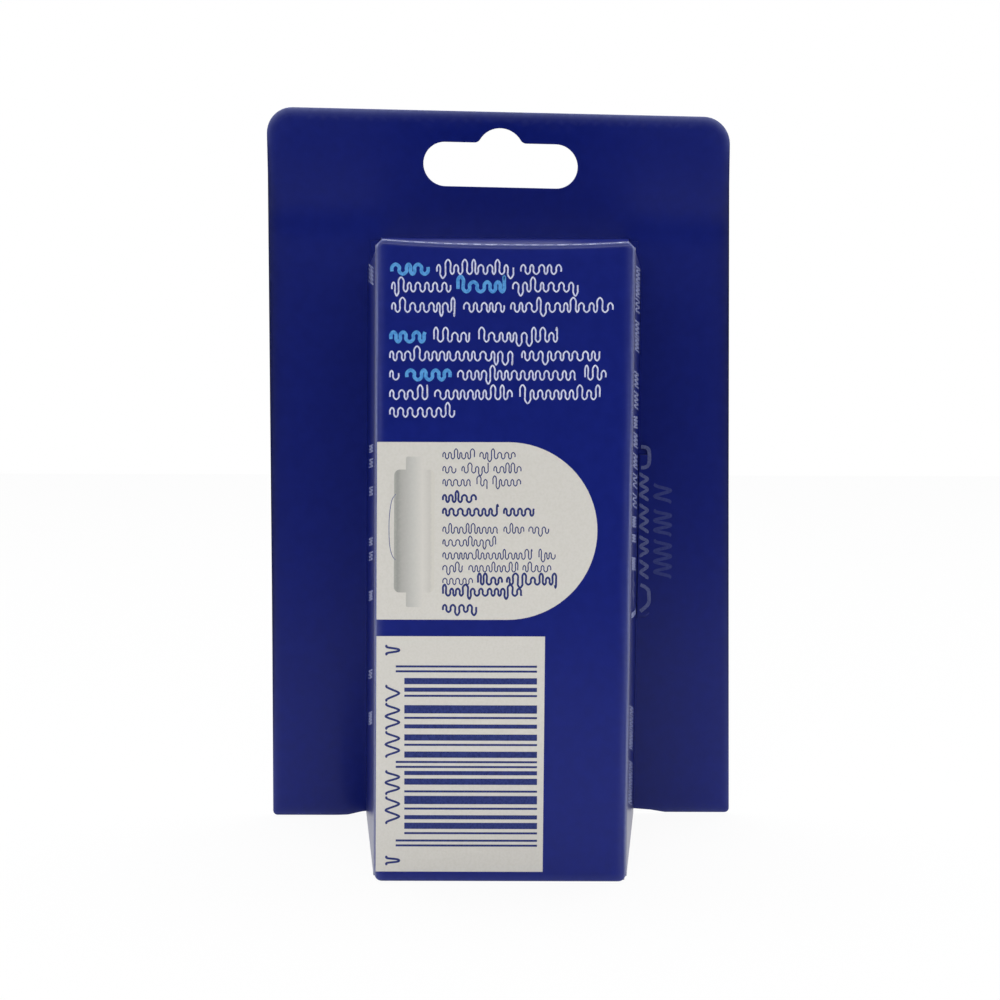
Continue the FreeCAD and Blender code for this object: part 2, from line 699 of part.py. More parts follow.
def dispenser_case():
    body = new_body("dispenser_case")
    outline = sketch_on(body, "outline", "XY_Plane", CASE_BASE_Z)
    draw_box(outline, f"-{HALF_CASE}", HALF_CASE, CASE_FRONT_Y, CASE_REAR_Y)
    block = pad(body, outline, f"{SHOULDER_Z} - {CASE_BASE_Z}")
    front = round_edges(
        body, block, "Fillet", "front_corners",
        upright_edge_at(size(HALF_CASE), size(CASE_FRONT_Y)), "Sizes.case_front_corner")
    rear = round_edges(
        body, front, "Fillet", "rear_corners",
        upright_edge_at(size(HALF_CASE), size(CASE_REAR_Y)), "Sizes.case_rear_corner")
    round_edges(
        body, rear, "Fillet", "rims",
        lambda edge: close(edge.BoundBox.ZLength, 0), "Sizes.case_edge_round")

    door_bay = sketch_on(body, "door_bay", "XZ_Plane", f"-{SPLIT_Y}")
    draw_box(
        door_bay, f"-({HALF_CASE} + Sizes.overrun)", f"({HALF_CASE} + Sizes.overrun)",
        FLOOR_Z, BAY_TOP_Z)
    pocket(body, door_bay, f"{SPLIT_Y} - {CASE_FRONT_Y} + Sizes.overrun")

    spool_bay = sketch_on(body, "spool_bay", "XZ_Plane", f"-{SPLIT_Y}")
    inner_half = f"({HALF_CASE} - Sizes.case_wall)"
    inner_rear = f"({CASE_REAR_Y} - Sizes.case_wall)"
    draw_box(spool_bay, f"-{inner_half}", inner_half, FLOOR_Z, BAY_TOP_Z)
    hollow = pocket(body, spool_bay, f"{inner_rear} - {SPLIT_Y}", upwards=False)
    round_edges(
        body, hollow, "Fillet", "bay_corners",
        upright_edge_at(size(inner_half), size(inner_rear)),
        "Sizes.case_rear_corner - Sizes.case_wall")

    lid_seat = sketch_on(body, "lid_seat", "XZ_Plane", f"-{LID_AXIS_Y}")
    draw_box(
        lid_seat, f"-({HALF_CASE} + Sizes.overrun)", f"({HALF_CASE} + Sizes.overrun)",
        DECK_Z, f"{SHOULDER_Z} + Sizes.overrun")
    pocket(body, lid_seat, "Sizes.lid_length + Sizes.overrun")

    head_front_y = f"({LID_AXIS_Y} + Sizes.lid_barrel_radius + Sizes.knuckle_gap + Sizes.case_wall)"
    head = sketch_on(body, "head_hollow", "XY_Plane", BAY_TOP_Z)
    draw_box(head, f"-{inner_half}", inner_half, head_front_y, inner_rear)
    pocket(body, head, f"{SHOULDER_Z} - Sizes.case_wall - {BAY_TOP_Z}")

    relief = sketch_on(body, "lid_barrel_relief", "YZ_Plane")
    draw_circle(relief, LID_AXIS_Y, LID_AXIS_Z, "Sizes.lid_barrel_radius + Sizes.knuckle_gap")
    pocket(body, relief, "2 * (Sizes.lid_barrel_half + Sizes.knuckle_gap)", both_ways=True)

    for name, start in (("left", f"-{EAR_OUTER_X}"),
                        ("right", "(Sizes.lid_barrel_half + Sizes.knuckle_gap)")):
        gusset = sketch_on(body, f"{name}_gusset", "YZ_Plane", start)
        nose_y = f"{LID_AXIS_Y} - Sizes.lid_barrel_radius"
        draw_outline(gusset, [
            (nose_y, LID_AXIS_Z),
            (nose_y, f"{LID_AXIS_Z} - Sizes.lid_barrel_radius"),
            (f"{LID_AXIS_Y} + Sizes.case_edge_round", f"{SHOULDER_Z} - Sizes.ear_gusset"),
            (f"{LID_AXIS_Y} + Sizes.case_edge_round", LID_AXIS_Z),
        ])
        pad(body, gusset, "Sizes.ear_width")
        ear = sketch_on(body, f"{name}_ear", "YZ_Plane", start)
        draw_circle(ear, LID_AXIS_Y, LID_AXIS_Z, "Sizes.lid_barrel_radius")
        pad(body, ear, "Sizes.ear_width")
    pin_hole = sketch_on(body, "lid_pin_hole", "YZ_Plane")
    draw_circle(pin_hole, LID_AXIS_Y, LID_AXIS_Z, "Sizes.lid_pin_radius")
    pocket(body, pin_hole, f"2 * ({EAR_OUTER_X} + Sizes.overrun)", both_ways=True)

    for name, level in (("lower", LOWER_CRADLE_Z), ("upper", UPPER_CRADLE_Z)):
        shelf = sketch_on(body, f"{name}_cradle", "XY_Plane", level)
        draw_box(
            shelf, f"-({HALF_CASE} - Sizes.case_wall / 2)", f"({HALF_CASE} - Sizes.case_wall / 2)",
            f"{SPLIT_Y} + Sizes.cradle_setback", f"({CASE_REAR_Y} - Sizes.case_wall / 2)")
        pad(body, shelf, "Sizes.cradle_thickness")
        journal = "(Sizes.stub_radius + Sizes.journal_gap)"
        mouth = sketch_on(body, f"{name}_mouth", "XY_Plane", level)
        draw_box(mouth, f"-{journal}", journal, f"{SPLIT_Y} - Sizes.overrun", SPOOL_Y)
        pocket(body, mouth, "Sizes.cradle_thickness")
        notch = sketch_on(body, f"{name}_notch", "XY_Plane", level)
        draw_circle(notch, "0", SPOOL_Y, journal)
        pocket(body, notch, "Sizes.cradle_thickness")

    barrel_relief = sketch_on(body, "door_barrel_relief", "XY_Plane", FLOOR_Z)
    draw_circle(
        barrel_relief, DOOR_AXIS_X, SPLIT_Y, "Sizes.door_barrel_radius + Sizes.knuckle_gap")
    pocket(body, barrel_relief, f"{BAY_TOP_Z} - {FLOOR_Z}")
    for name, level in (("lower", CASE_BASE_Z), ("upper", BAY_TOP_Z)):
        knuckle = sketch_on(body, f"{name}_knuckle", "XY_Plane", level)
        draw_circle(knuckle, DOOR_AXIS_X, SPLIT_Y, "Sizes.door_barrel_radius")
        pad(body, knuckle, "Sizes.case_floor")
    pin_bore = sketch_on(body, "door_pin_bore", "XY_Plane", f"{CASE_BASE_Z} - Sizes.overrun")
    draw_circle(pin_bore, DOOR_AXIS_X, SPLIT_Y, "Sizes.door_pin_radius + Sizes.pin_gap")
    pocket(body, pin_bore, f"{DECK_Z} - {CASE_BASE_Z} + 2 * Sizes.overrun")

    thumb = sketch_on(body, "thumb_notch", "YZ_Plane", f"{inner_half} - Sizes.case_edge_round")
    draw_circle(thumb, SPLIT_Y, f"({FLOOR_Z} + {BAY_TOP_Z}) / 2", "Sizes.thumb_notch")
    pocket(body, thumb, "Sizes.case_wall + 2 * Sizes.overrun")

    peg_hole = sketch_on(body, "peg_hole", "XY_Plane", BAY_TOP_Z)
    draw_circle(peg_hole, "0", OUTLET_Y, "Sizes.peg_radius + Sizes.peg_gap")
    pocket(body, peg_hole, "Sizes.case_floor")
    return body


dispenser_case()


# Refill door: the curved front of the case. A barrel along its left edge turns on two short
# pins, a long lip on its right edge snaps inside the case, and ribs hold the spool's stubs.

def refill_door():
    body = new_body("refill_door")
    low_z = f"({FLOOR_Z} + Sizes.split_gap)"
    high_z = f"({BAY_TOP_Z} - Sizes.split_gap)"
    rear_y = f"({SPLIT_Y} - Sizes.split_gap)"
    tall = f"{high_z} - {low_z}"
    outline = sketch_on(body, "outline", "XY_Plane", low_z)
    draw_rounded_front(outline, HALF_CASE, CASE_FRONT_Y, rear_y, "Sizes.case_front_corner")
    pad(body, outline, tall)
    inner_half = f"({HALF_CASE} - Sizes.case_wall)"
    hollow = sketch_on(body, "hollow", "XY_Plane", low_z)
    draw_rounded_front(
        hollow, inner_half, f"({CASE_FRONT_Y} + Sizes.case_wall)", f"({rear_y} + Sizes.overrun)",
        "(Sizes.case_front_corner - Sizes.case_wall)")
    pocket(body, hollow, tall)

    barrel = sketch_on(body, "barrel", "XY_Plane", low_z)
    draw_circle(barrel, DOOR_AXIS_X, SPLIT_Y, "Sizes.door_barrel_radius")
    pad(body, barrel, tall)
    for name, start in (("lower", low_z), ("upper", f"({high_z} - Sizes.door_pin_grip)")):
        bore = sketch_on(body, f"{name}_pin_bore", "XY_Plane", start)
        draw_circle(bore, DOOR_AXIS_X, SPLIT_Y, "Sizes.door_pin_radius")
        pocket(body, bore, "Sizes.door_pin_grip")

    middle_z = f"(({low_z} + {high_z}) / 2)"
    lip = sketch_on(body, "latch_lip", "XY_Plane", f"{middle_z} - Sizes.latch_length / 2")
    lip_outer = f"({inner_half} - Sizes.knuckle_gap)"
    lip_inner = f"({lip_outer} - Sizes.latch_thickness)"
    draw_outline(lip, [
        (f"{inner_half} + Sizes.case_wall / 2", f"{rear_y} - Sizes.latch_root"),
        (f"{inner_half} + Sizes.case_wall / 2", f"{rear_y} - Sizes.latch_thickness"),
        (lip_outer, f"{rear_y} - Sizes.latch_thickness"),
        (lip_outer, f"{rear_y} + Sizes.latch_reach"),
        (lip_inner, f"{rear_y} + Sizes.latch_reach"),
        (lip_inner, f"{rear_y} - Sizes.latch_root"),
    ])
    pad(body, lip, "Sizes.latch_length")

    for name, level in (("lower", LOWER_CRADLE_Z), ("upper", UPPER_CRADLE_Z)):
        for side in ("-1", "1"):
            rib = sketch_on(body, f"{name}_rib_{'left' if side == '-1' else 'right'}", "XY_Plane", level)
            inner_x = f"{side} * Sizes.rib_spread"
            outer_x = f"{side} * (Sizes.rib_spread + Sizes.rib_thickness)"
            draw_box(
                rib, inner_x, outer_x, f"{CASE_FRONT_Y} + Sizes.case_wall / 2",
                f"({SPOOL_Y} - Sizes.stub_radius - Sizes.rib_gap)")
            pad(body, rib, "Sizes.cradle_thickness")

    grips = sketch_on(body, "grips", "XZ_Plane", f"-{CASE_FRONT_Y} - Sizes.grip_depth")
    for index in range(GRIP_ROWS):
        centre = f"({middle_z} + ({index} - ({GRIP_ROWS} - 1) / 2) * Sizes.grip_pitch)"
        draw_box(
            grips, "-Sizes.grip_length / 2", "Sizes.grip_length / 2",
            f"{centre} - Sizes.grip_width / 2", f"{centre} + Sizes.grip_width / 2")
    pocket(body, grips, "Sizes.grip_depth + Sizes.overrun")
    return body


refill_door()


def upright_cylinder(label, x, y, low_z, radius, tall):
    cylinder = doc.addObject("Part::Cylinder", label)
    cylinder.setExpression("Radius", radius)
    cylinder.setExpression("Height", tall)
    cylinder.setExpression("Placement.Base.x", x)
    cylinder.setExpression("Placement.Base.y", y)
    cylinder.setExpression("Placement.Base.z", low_z)
    return cylinder


pin_x = f"(Sizes.carton_shift + {DOOR_AXIS_X})"
pin_length = "(Sizes.case_floor + Sizes.split_gap + Sizes.door_pin_grip)"
door_pins = doc.addObject("Part::Compound", "refill_door_pins")
door_pins.Label = "refill_door_pins"
door_pins.Links = [
    upright_cylinder("lower_door_pin", pin_x, SPLIT_Y, CASE_BASE_Z, "Sizes.door_pin_radius", pin_length),
    upright_cylinder("upper_door_pin", pin_x, SPLIT_Y, f"{DECK_Z} - {pin_length}",
                     "Sizes.door_pin_radius", pin_length),
]
pieces.append(door_pins)


# Lid: a rounded cap over the outlet, open below and behind, hinged on a barrel under its rear
# edge, with a thumb lip at its front.

def lid():
    body = new_body("lid")
    low_z = f"({DECK_Z} + Sizes.lid_seat_gap)"
    rear_y = f"({LID_AXIS_Y} - Sizes.lid_rear_gap)"
    outline = sketch_on(body, "outline", "XY_Plane", low_z)
    draw_rounded_front(outline, HALF_CASE, CASE_FRONT_Y, rear_y, "Sizes.case_front_corner")
    block = pad(body, outline, f"{LID_TOP_Z} - {low_z}")
    round_edges(
        body, block, "Fillet", "top_rim",
        lambda edge: close(edge.BoundBox.ZMin, size(LID_TOP_Z))
        and edge.BoundBox.YMin < size(rear_y) - size("Sizes.lid_wall"),
        "Sizes.lid_round")
    inner_half = f"({HALF_CASE} - Sizes.lid_wall)"
    hollow = sketch_on(body, "hollow", "XY_Plane", low_z)
    draw_rounded_front(
        hollow, inner_half, f"({CASE_FRONT_Y} + Sizes.lid_wall)", f"({rear_y} + Sizes.overrun)",
        "(Sizes.case_front_corner - Sizes.lid_wall)")
    pocket(body, hollow, f"{LID_TOP_Z} - Sizes.lid_wall - {low_z}")

    notches = sketch_on(body, "ear_notches", "XY_Plane", f"{LID_TOP_Z} - 2 * Sizes.lid_wall")
    for side in ("-1", "1"):
        draw_box(
            notches, f"{side} * Sizes.lid_barrel_half",
            f"{side} * ({EAR_OUTER_X} + Sizes.knuckle_gap)",
            f"{LID_AXIS_Y} - Sizes.lid_barrel_radius - Sizes.knuckle_gap",
            f"{LID_AXIS_Y} + Sizes.overrun")
    pocket(body, notches, "2 * Sizes.lid_wall + Sizes.overrun")
    barrel = sketch_on(body, "barrel", "YZ_Plane")
    draw_circle(barrel, LID_AXIS_Y, LID_AXIS_Z, "Sizes.lid_barrel_radius")
    pad(body, barrel, "2 * Sizes.lid_barrel_half", both_ways=True)
    bore = sketch_on(body, "pin_bore", "YZ_Plane")
    draw_circle(bore, LID_AXIS_Y, LID_AXIS_Z, "Sizes.lid_pin_radius + Sizes.pin_gap")
    pocket(body, bore, f"2 * ({EAR_OUTER_X} + Sizes.overrun)", both_ways=True)

    lip = sketch_on(body, "thumb_lip", "XY_Plane", low_z)
    draw_box(
        lip, "-Sizes.thumb_lip_half", "Sizes.thumb_lip_half",
        f"{CASE_FRONT_Y} - Sizes.thumb_lip_reach", f"{CASE_FRONT_Y} + Sizes.lid_wall / 2")
    lipped = pad(body, lip, "Sizes.thumb_lip_height")
    round_edges(
        body, lipped, "Fillet", "lip_corners",
        upright_edge_at(size("Sizes.thumb_lip_half"), size(f"{CASE_FRONT_Y} - Sizes.thumb_lip_reach")),
        "Sizes.thumb_lip_reach - Sizes.crease_gap")
    return body


lid()

lid_pin = doc.addObject("Part::Cylinder", "lid_pin")
lid_pin.Label = "lid_pin"
lid_pin.setExpression("Radius", "Sizes.lid_pin_radius")
lid_pin.setExpression("Height", f"2 * {EAR_OUTER_X}")
lid_pin.Placement.Rotation = FreeCAD.Rotation(FreeCAD.Vector(0, 1, 0), 90)
lid_pin.setExpression("Placement.Base.x", f"Sizes.carton_shift - {EAR_OUTER_X}")
lid_pin.setExpression("Placement.Base.y", LID_AXIS_Y)
lid_pin.setExpression("Placement.Base.z", LID_AXIS_Z)
pieces.append(lid_pin)


# Guide insert: a plate on the deck with the outlet nozzle, a peg through the deck, and a
# shallow seat for the cutter.

def guide_insert():
    body = new_body("guide_insert")
    plate = sketch_on(body, "plate", "XY_Plane", DECK_Z)
    draw_box(
        plate, "-Sizes.insert_half_width", "Sizes.insert_half_width",
        f"{OUTLET_Y} - Sizes.insert_front", f"{OUTLET_Y} + Sizes.insert_rear")
    slab = pad(body, plate, "Sizes.insert_thickness")
    round_edges(
        body, slab, "Fillet", "corners", lambda edge: runs_along(edge, 2), "Sizes.insert_corner")
    nozzle = sketch_on(body, "nozzle", "XY_Plane", INSERT_TOP_Z)
    draw_circle(nozzle, "0", OUTLET_Y, "Sizes.nozzle_radius")
    boss = pad(body, nozzle, "Sizes.nozzle_height")
    round_edges(
        body, boss, "Chamfer", "nozzle_rim",
        lambda edge: close(edge.BoundBox.ZMin, size(f"{INSERT_TOP_Z} + Sizes.nozzle_height")),
        "Sizes.nozzle_chamfer")
    peg = sketch_on(body, "peg", "XY_Plane", BAY_TOP_Z)
    draw_circle(peg, "0", OUTLET_Y, "Sizes.peg_radius")
    pad(body, peg, "Sizes.case_floor")
    bore = sketch_on(body, "bore", "XY_Plane", BAY_TOP_Z)
    draw_circle(bore, "0", OUTLET_Y, "Sizes.outlet_bore_radius")
    pocket(body, bore, "Sizes.case_floor + Sizes.insert_thickness + Sizes.nozzle_height + Sizes.overrun")
    seat = sketch_on(body, "blade_seat", "XY_Plane", BLADE_Z)
    draw_box(
        seat, "-(Sizes.blade_half_width + Sizes.peg_gap)", "(Sizes.blade_half_width + Sizes.peg_gap)",
        f"{BLADE_FRONT_Y} - Sizes.peg_gap", f"{BLADE_REAR_Y} + Sizes.peg_gap")
    pocket(body, seat, "Sizes.blade_recess + Sizes.overrun")


guide_insert()


# Cutter: stamped from thin steel. A toothed plate lies in its seat, and from its rear edge a
# pointed tongue is bent up and forward, so that floss drawn under it is held and cut.

def cutter_blade():
    body = new_body("cutter_blade")
    plate = sketch_on(body, "plate", "XY_Plane", BLADE_Z)
    draw_box(plate, "-Sizes.blade_half_width", "Sizes.blade_half_width", BLADE_FRONT_Y, BLADE_REAR_Y)
    pad(body, plate, "Sizes.blade_thickness")
    teeth = sketch_on(body, "teeth", "XY_Plane", BLADE_Z)
    gaps = int(size("2 * Sizes.blade_half_width / Sizes.tooth_pitch")) - 1
    for index in range(gaps):
        centre = f"(({index} - ({gaps} - 1) / 2) * Sizes.tooth_pitch)"
        root_y = f"{BLADE_FRONT_Y} - Sizes.tooth_depth * {TOOTH_ROOT_SHARE}"
        draw_outline(teeth, [
            (f"{centre} - Sizes.tooth_depth", root_y),
            (f"{centre} + Sizes.tooth_depth", root_y),
            (centre, f"{BLADE_FRONT_Y} + Sizes.tooth_depth"),
        ])
    pocket(body, teeth, "Sizes.blade_thickness")
    riser = sketch_on(body, "riser", "XY_Plane", BLADE_Z)
    draw_box(
        riser, "-Sizes.tongue_half_width", "Sizes.tongue_half_width",
        f"{BLADE_REAR_Y} - Sizes.blade_thickness", BLADE_REAR_Y)
    pad(body, riser, "2 * Sizes.blade_thickness + Sizes.tongue_rise")
    tongue = sketch_on(body, "tongue", "XY_Plane", f"{BLADE_Z} + Sizes.blade_thickness + Sizes.tongue_rise")
    tip_y = f"{BLADE_FRONT_Y} + Sizes.tongue_setback"
    draw_outline(tongue, [
        ("-Sizes.tongue_half_width", BLADE_REAR_Y),
        ("Sizes.tongue_half_width", BLADE_REAR_Y),
        ("Sizes.tongue_half_width", f"{tip_y} + Sizes.tongue_point"),
        ("0", tip_y),
        ("-Sizes.tongue_half_width", f"{tip_y} + Sizes.tongue_point"),
    ])
    pad(body, tongue, "Sizes.blade_thickness")


cutter_blade()


# Refill: a tube whose two bare ends are the stubs that turn in the cradles, and the waxed floss
# wound on it between them, with its ends bevelled.

def turned_piece(label, corners, rounding, reach, wanted):
    body = new_body(label)
    body.setExpression("Placement.Base.y", SPOOL_Y)
    profile = sketch_on(body, "profile", "XZ_Plane")
    draw_outline(profile, corners)
    turned = body.newObject("PartDesign::Revolution", f"{label}_turned")
    turned.Profile = profile
    turned.ReferenceAxis = (profile, ["V_Axis"])
    turned.Angle = 360
    doc.recompute()
    round_edges(body, turned, rounding, "ends", wanted, reach)


stub_top_z = f"({SPOOL_BASE_Z} + {SPOOL_LENGTH})"
turned_piece(
    "refill_core", [
        ("Sizes.core_bore_radius", SPOOL_BASE_Z),
        ("Sizes.stub_radius", SPOOL_BASE_Z),
        ("Sizes.stub_radius", stub_top_z),
        ("Sizes.core_bore_radius", stub_top_z),
    ], "Chamfer", "Sizes.stub_chamfer",
    lambda edge: edge.Curve.TypeId == "Part::GeomCircle"
    and close(edge.Curve.Radius, size("Sizes.stub_radius")))
winding_base_z = f"({SPOOL_BASE_Z} + Sizes.lower_stub)"
turned_piece(
    "floss_winding", [
        ("Sizes.stub_radius", winding_base_z),
        ("Sizes.winding_radius", winding_base_z),
        ("Sizes.winding_radius", f"({winding_base_z} + Sizes.winding_length)"),
        ("Sizes.stub_radius", f"({winding_base_z} + Sizes.winding_length)"),
    ], "Chamfer", "Sizes.winding_chamfer",
    lambda edge: edge.Curve.TypeId == "Part::GeomCircle"
    and close(edge.Curve.Radius, size("Sizes.winding_radius")))


# Floss strand: it leaves the winding straight up, leans in to the nozzle, passes through it and
# bends back over the cutter, where its end lies under the tongue.

def rounded_route(points):
    """Wire of straight runs through points, each corner an arc as large as its runs allow."""
    edges = []
    here = points[0]
    for before, corner, after in zip(points, points[1:], points[2:]):
        incoming = (corner - before).normalize()
        outgoing = (after - corner).normalize()
        half_turn = incoming.getAngle(outgoing) / 2
        shorter = min((corner - before).Length, (after - corner).Length)
        setback = GUIDE_BEND_SHARE * shorter
        radius = setback / math.tan(half_turn)
        start = corner - incoming * setback
        end = corner + outgoing * setback
        inwards = (outgoing - incoming).normalize()
        middle = corner + inwards * (radius / math.cos(half_turn) - radius)
        print("floss bend radius", round(radius, 2))
        edges.append(Part.LineSegment(here, start).toShape())
        edges.append(Part.Arc(start, middle, end).toShape())
        here = end
    edges.append(Part.LineSegment(here, points[-1]).toShape())
    return Part.Wire(edges)


def floss_strand():
    leave_y = size(f"{SPOOL_Y} - Sizes.winding_radius - Sizes.floss_stand_off - Sizes.floss_radius")
    outlet_y = size(OUTLET_Y)
    rest_z = size(f"{BLADE_Z} + Sizes.blade_thickness + Sizes.floss_radius + Sizes.pin_gap")
    over_z = size(f"{INSERT_TOP_Z} + Sizes.nozzle_height + Sizes.floss_lift")
    lead = size("Sizes.floss_lead")
    start_z = size(f"{BAY_TOP_Z} - Sizes.floss_start_drop")
    route = [
        FreeCAD.Vector(0, leave_y, start_z),
        FreeCAD.Vector(0, leave_y, size(f"{BAY_TOP_Z} - Sizes.upper_stub")),
        FreeCAD.Vector(0, outlet_y, size(BAY_TOP_Z) - lead),
        FreeCAD.Vector(0, outlet_y, over_z),
        FreeCAD.Vector(0, outlet_y + size("Sizes.floss_over"), over_z),
        FreeCAD.Vector(0, size(f"{BLADE_FRONT_Y} + Sizes.tooth_depth"), rest_z),
        FreeCAD.Vector(0, size(f"{BLADE_FRONT_Y} + Sizes.floss_tail"), rest_z),
    ]
    path = rounded_route(route)
    radius = size("Sizes.floss_radius")
    ring = Part.Wire(Part.Circle(route[0], FreeCAD.Vector(0, 0, 1), radius).toShape())
    tube = path.makePipeShell([ring], True, False)
    feature = doc.addObject("Part::Feature", "floss_strand")
    feature.Shape = tube
    feature.Label = "floss_strand"
    feature.Placement = FreeCAD.Placement(FreeCAD.Vector(size("Sizes.carton_shift"), 0, 0), FreeCAD.Rotation())
    pieces.append(feature)
    print("floss volume share", round(tube.Volume / (math.pi * radius**2 * path.Length), 4))
    print("floss length", round(path.Length, 1))


floss_strand()

doc.recompute()
for item in doc.Objects:
    if "Invalid" in item.State or "Error" in item.State:
        raise RuntimeError(f"{item.Label} did not compute: {item.State}")
for piece in pieces:
    if piece.Shape.isNull() or not piece.Shape.isValid() or not piece.Shape.Solids:
        raise RuntimeError(f"{piece.Label} has no valid shape")

os.makedirs("parts", exist_ok=True)
for piece in pieces:
    piece.Shape.exportStep(f"parts/{piece.Label}.step")
    print(piece.Label, len(piece.Shape.Solids), round(piece.Shape.Volume, 3))
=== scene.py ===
import math
import random

import bmesh
import bpy
import mathutils.geometry
import mathutils.kdtree
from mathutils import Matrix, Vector


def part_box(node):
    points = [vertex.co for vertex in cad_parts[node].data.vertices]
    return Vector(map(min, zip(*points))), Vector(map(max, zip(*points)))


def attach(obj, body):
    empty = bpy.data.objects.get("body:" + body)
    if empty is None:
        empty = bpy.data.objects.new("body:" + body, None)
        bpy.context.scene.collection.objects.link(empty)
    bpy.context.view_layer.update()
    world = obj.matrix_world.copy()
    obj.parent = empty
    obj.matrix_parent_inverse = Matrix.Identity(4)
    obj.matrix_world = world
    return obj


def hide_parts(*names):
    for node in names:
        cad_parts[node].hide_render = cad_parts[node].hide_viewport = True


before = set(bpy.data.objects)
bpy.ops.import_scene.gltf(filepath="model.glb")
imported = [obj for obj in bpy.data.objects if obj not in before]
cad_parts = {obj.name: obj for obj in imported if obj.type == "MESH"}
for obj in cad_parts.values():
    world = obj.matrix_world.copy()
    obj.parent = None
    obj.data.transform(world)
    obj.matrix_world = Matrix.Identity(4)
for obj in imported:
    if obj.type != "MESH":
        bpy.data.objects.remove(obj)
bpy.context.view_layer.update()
MM = 0.001

# Studio: a camera at the photograph's angle, a pale floor that runs out to white, dark space
# behind the camera so that the dark boards stay deep, and bright space behind the pack.

scene = bpy.context.scene
scene.view_settings.view_transform = "Standard"
scene.view_settings.look = "None"


def colour(code):
    """Linear colour of an sRGB hex code."""
    parts = [int(code[i:i + 2], 16) / 255 for i in (0, 2, 4)]
    return tuple(c / 12.92 if c <= 0.04045 else ((c + 0.055) / 1.055) ** 2.4 for c in parts) + (1.0,)


def add(tree, kind, settings=None, **links):
    """Adds a node with its settings, links other nodes' sockets to its own, and gives its outputs
    back. In the settings, a number or a socket's name sets that socket, "stops" a colour ramp, and
    other keys the node."""
    node = tree.nodes.new(kind)
    for key, value in (settings or {}).items():
        if key == "stops":
            elements = node.color_ramp.elements
            while len(elements) < len(value):
                elements.new(0.5)
            for element, (position, code) in zip(elements, value):
                element.position = position
                element.color = colour(code)
        elif isinstance(key, int) or key in node.inputs:
            node.inputs[key].default_value = value
        else:
            setattr(node, key, value)
    for key, source in links.items():
        numbered = key[0] == "i" and key[1:].isdigit()
        socket = node.inputs[int(key[1:])] if numbered else node.inputs[key.replace("_", " ")]
        tree.links.new(source, socket)
    return node.outputs


def put(name, data):
    """Adds an object to the scene."""
    made = bpy.data.objects.new(name, data)
    scene.collection.objects.link(made)
    return made


# How far in front of the origin and how high the camera stands, in millimetres.
EYE_BACK = 390.22
EYE_HIGH = 98.06
camera = put("camera", bpy.data.cameras.new("camera"))
scene.camera = camera
camera.data.sensor_width = 36
camera.data.lens = 97.05
camera.data.clip_start = 0.01
camera.location = Vector((-0.075, -EYE_BACK, EYE_HIGH)) * MM
camera.rotation_mode = "XYZ"
camera.rotation_euler = (math.radians(90 - 6.82), math.radians(-0.16), math.radians(-0.05))

world = bpy.data.worlds.new("studio")
scene.world = world
world.use_nodes = True
tree = world.node_tree
tree.nodes.clear()
direction = add(tree, "ShaderNodeTexCoord")["Generated"]
facing = add(tree, "ShaderNodeSeparateXYZ", i0=direction)["Y"]
half = add(tree, "ShaderNodeMath", {"operation": "MULTIPLY_ADD", 1: 0.5, 2: 0.5}, i0=facing)[0]
around = add(tree, "ShaderNodeValToRGB", {
    "stops": [(0.0, "1C1E22"), (0.3, "36393E"), (0.5, "B4B6BA"), (0.75, "FFFFFF")]}, i0=half)[0]
soft = add(tree, "ShaderNodeBackground", {"Strength": 0.8}, Color=around)[0]
white = add(tree, "ShaderNodeBackground", {"Color": (1, 1, 1, 1), "Strength": 1.0})[0]
to_camera = add(tree, "ShaderNodeLightPath")["Is Camera Ray"]
mixed = add(tree, "ShaderNodeMixShader", i0=to_camera, i1=soft, i2=white)[0]
add(tree, "ShaderNodeOutputWorld", Surface=mixed)

lit_point = Vector((0, 0, 50))
for name, spot, wide, tall, power in (
        ("left_softbox", (-300, -620, 340), 420, 420, 1.05),
        ("right_softbox", (320, -620, 310), 420, 420, 0.85),
        ("front_softbox", (0, -640, 400), 420, 320, 1.5),
        ("top_softbox", (0, 160, 560), 520, 300, 2.2)):
    lamp = put(name, bpy.data.lights.new(name, "AREA"))
    lamp.data.shape = "RECTANGLE"
    lamp.data.size = wide * MM
    lamp.data.size_y = tall * MM
    lamp.data.energy = power
    lamp.location = Vector(spot) * MM
    lamp.rotation_mode = "QUATERNION"
    lamp.rotation_quaternion = (lit_point - Vector(spot)).to_track_quat("-Z", "Y")


def material(name, **sockets):
    """Principled material, with its constant values set on the shader's own sockets."""
    made = bpy.data.materials.new(name)
    made.use_nodes = True
    shader = made.node_tree.nodes["Principled BSDF"]
    for key, value in sockets.items():
        shader.inputs[key.replace("_", " ")].default_value = value
    return made, made.node_tree, shader


# Matt white sweep: it takes the pack's soft shadow. A glow that only the camera and reflections
# see runs it out to white.
made, tree, shader = material(
    "pale_studio_floor", Base_Color=colour("F2F2F2"), Roughness=0.7, Specular_IOR_Level=0.2)
glow = add(tree, "ShaderNodeEmission", {"Color": (1, 1, 1, 1), "Strength": 1.0})[0]
rays = add(tree, "ShaderNodeLightPath")
mirrored = add(tree, "ShaderNodeMath", {"operation": "MAXIMUM"},
               i0=rays["Is Glossy Ray"], i1=rays["Is Transmission Ray"])[0]
glowing = add(tree, "ShaderNodeMath", {"operation": "MAXIMUM"}, i0=rays["Is Camera Ray"], i1=mirrored)[0]
share = add(tree, "ShaderNodeMath", {"operation": "MULTIPLY", 1: 0.94}, i0=glowing)[0]
mixed = add(tree, "ShaderNodeMixShader", i0=share, i1=shader.outputs[0], i2=glow)[0]
tree.links.new(mixed, tree.nodes["Material Output"].inputs["Surface"])
floor_mesh = bpy.data.meshes.new("floor")
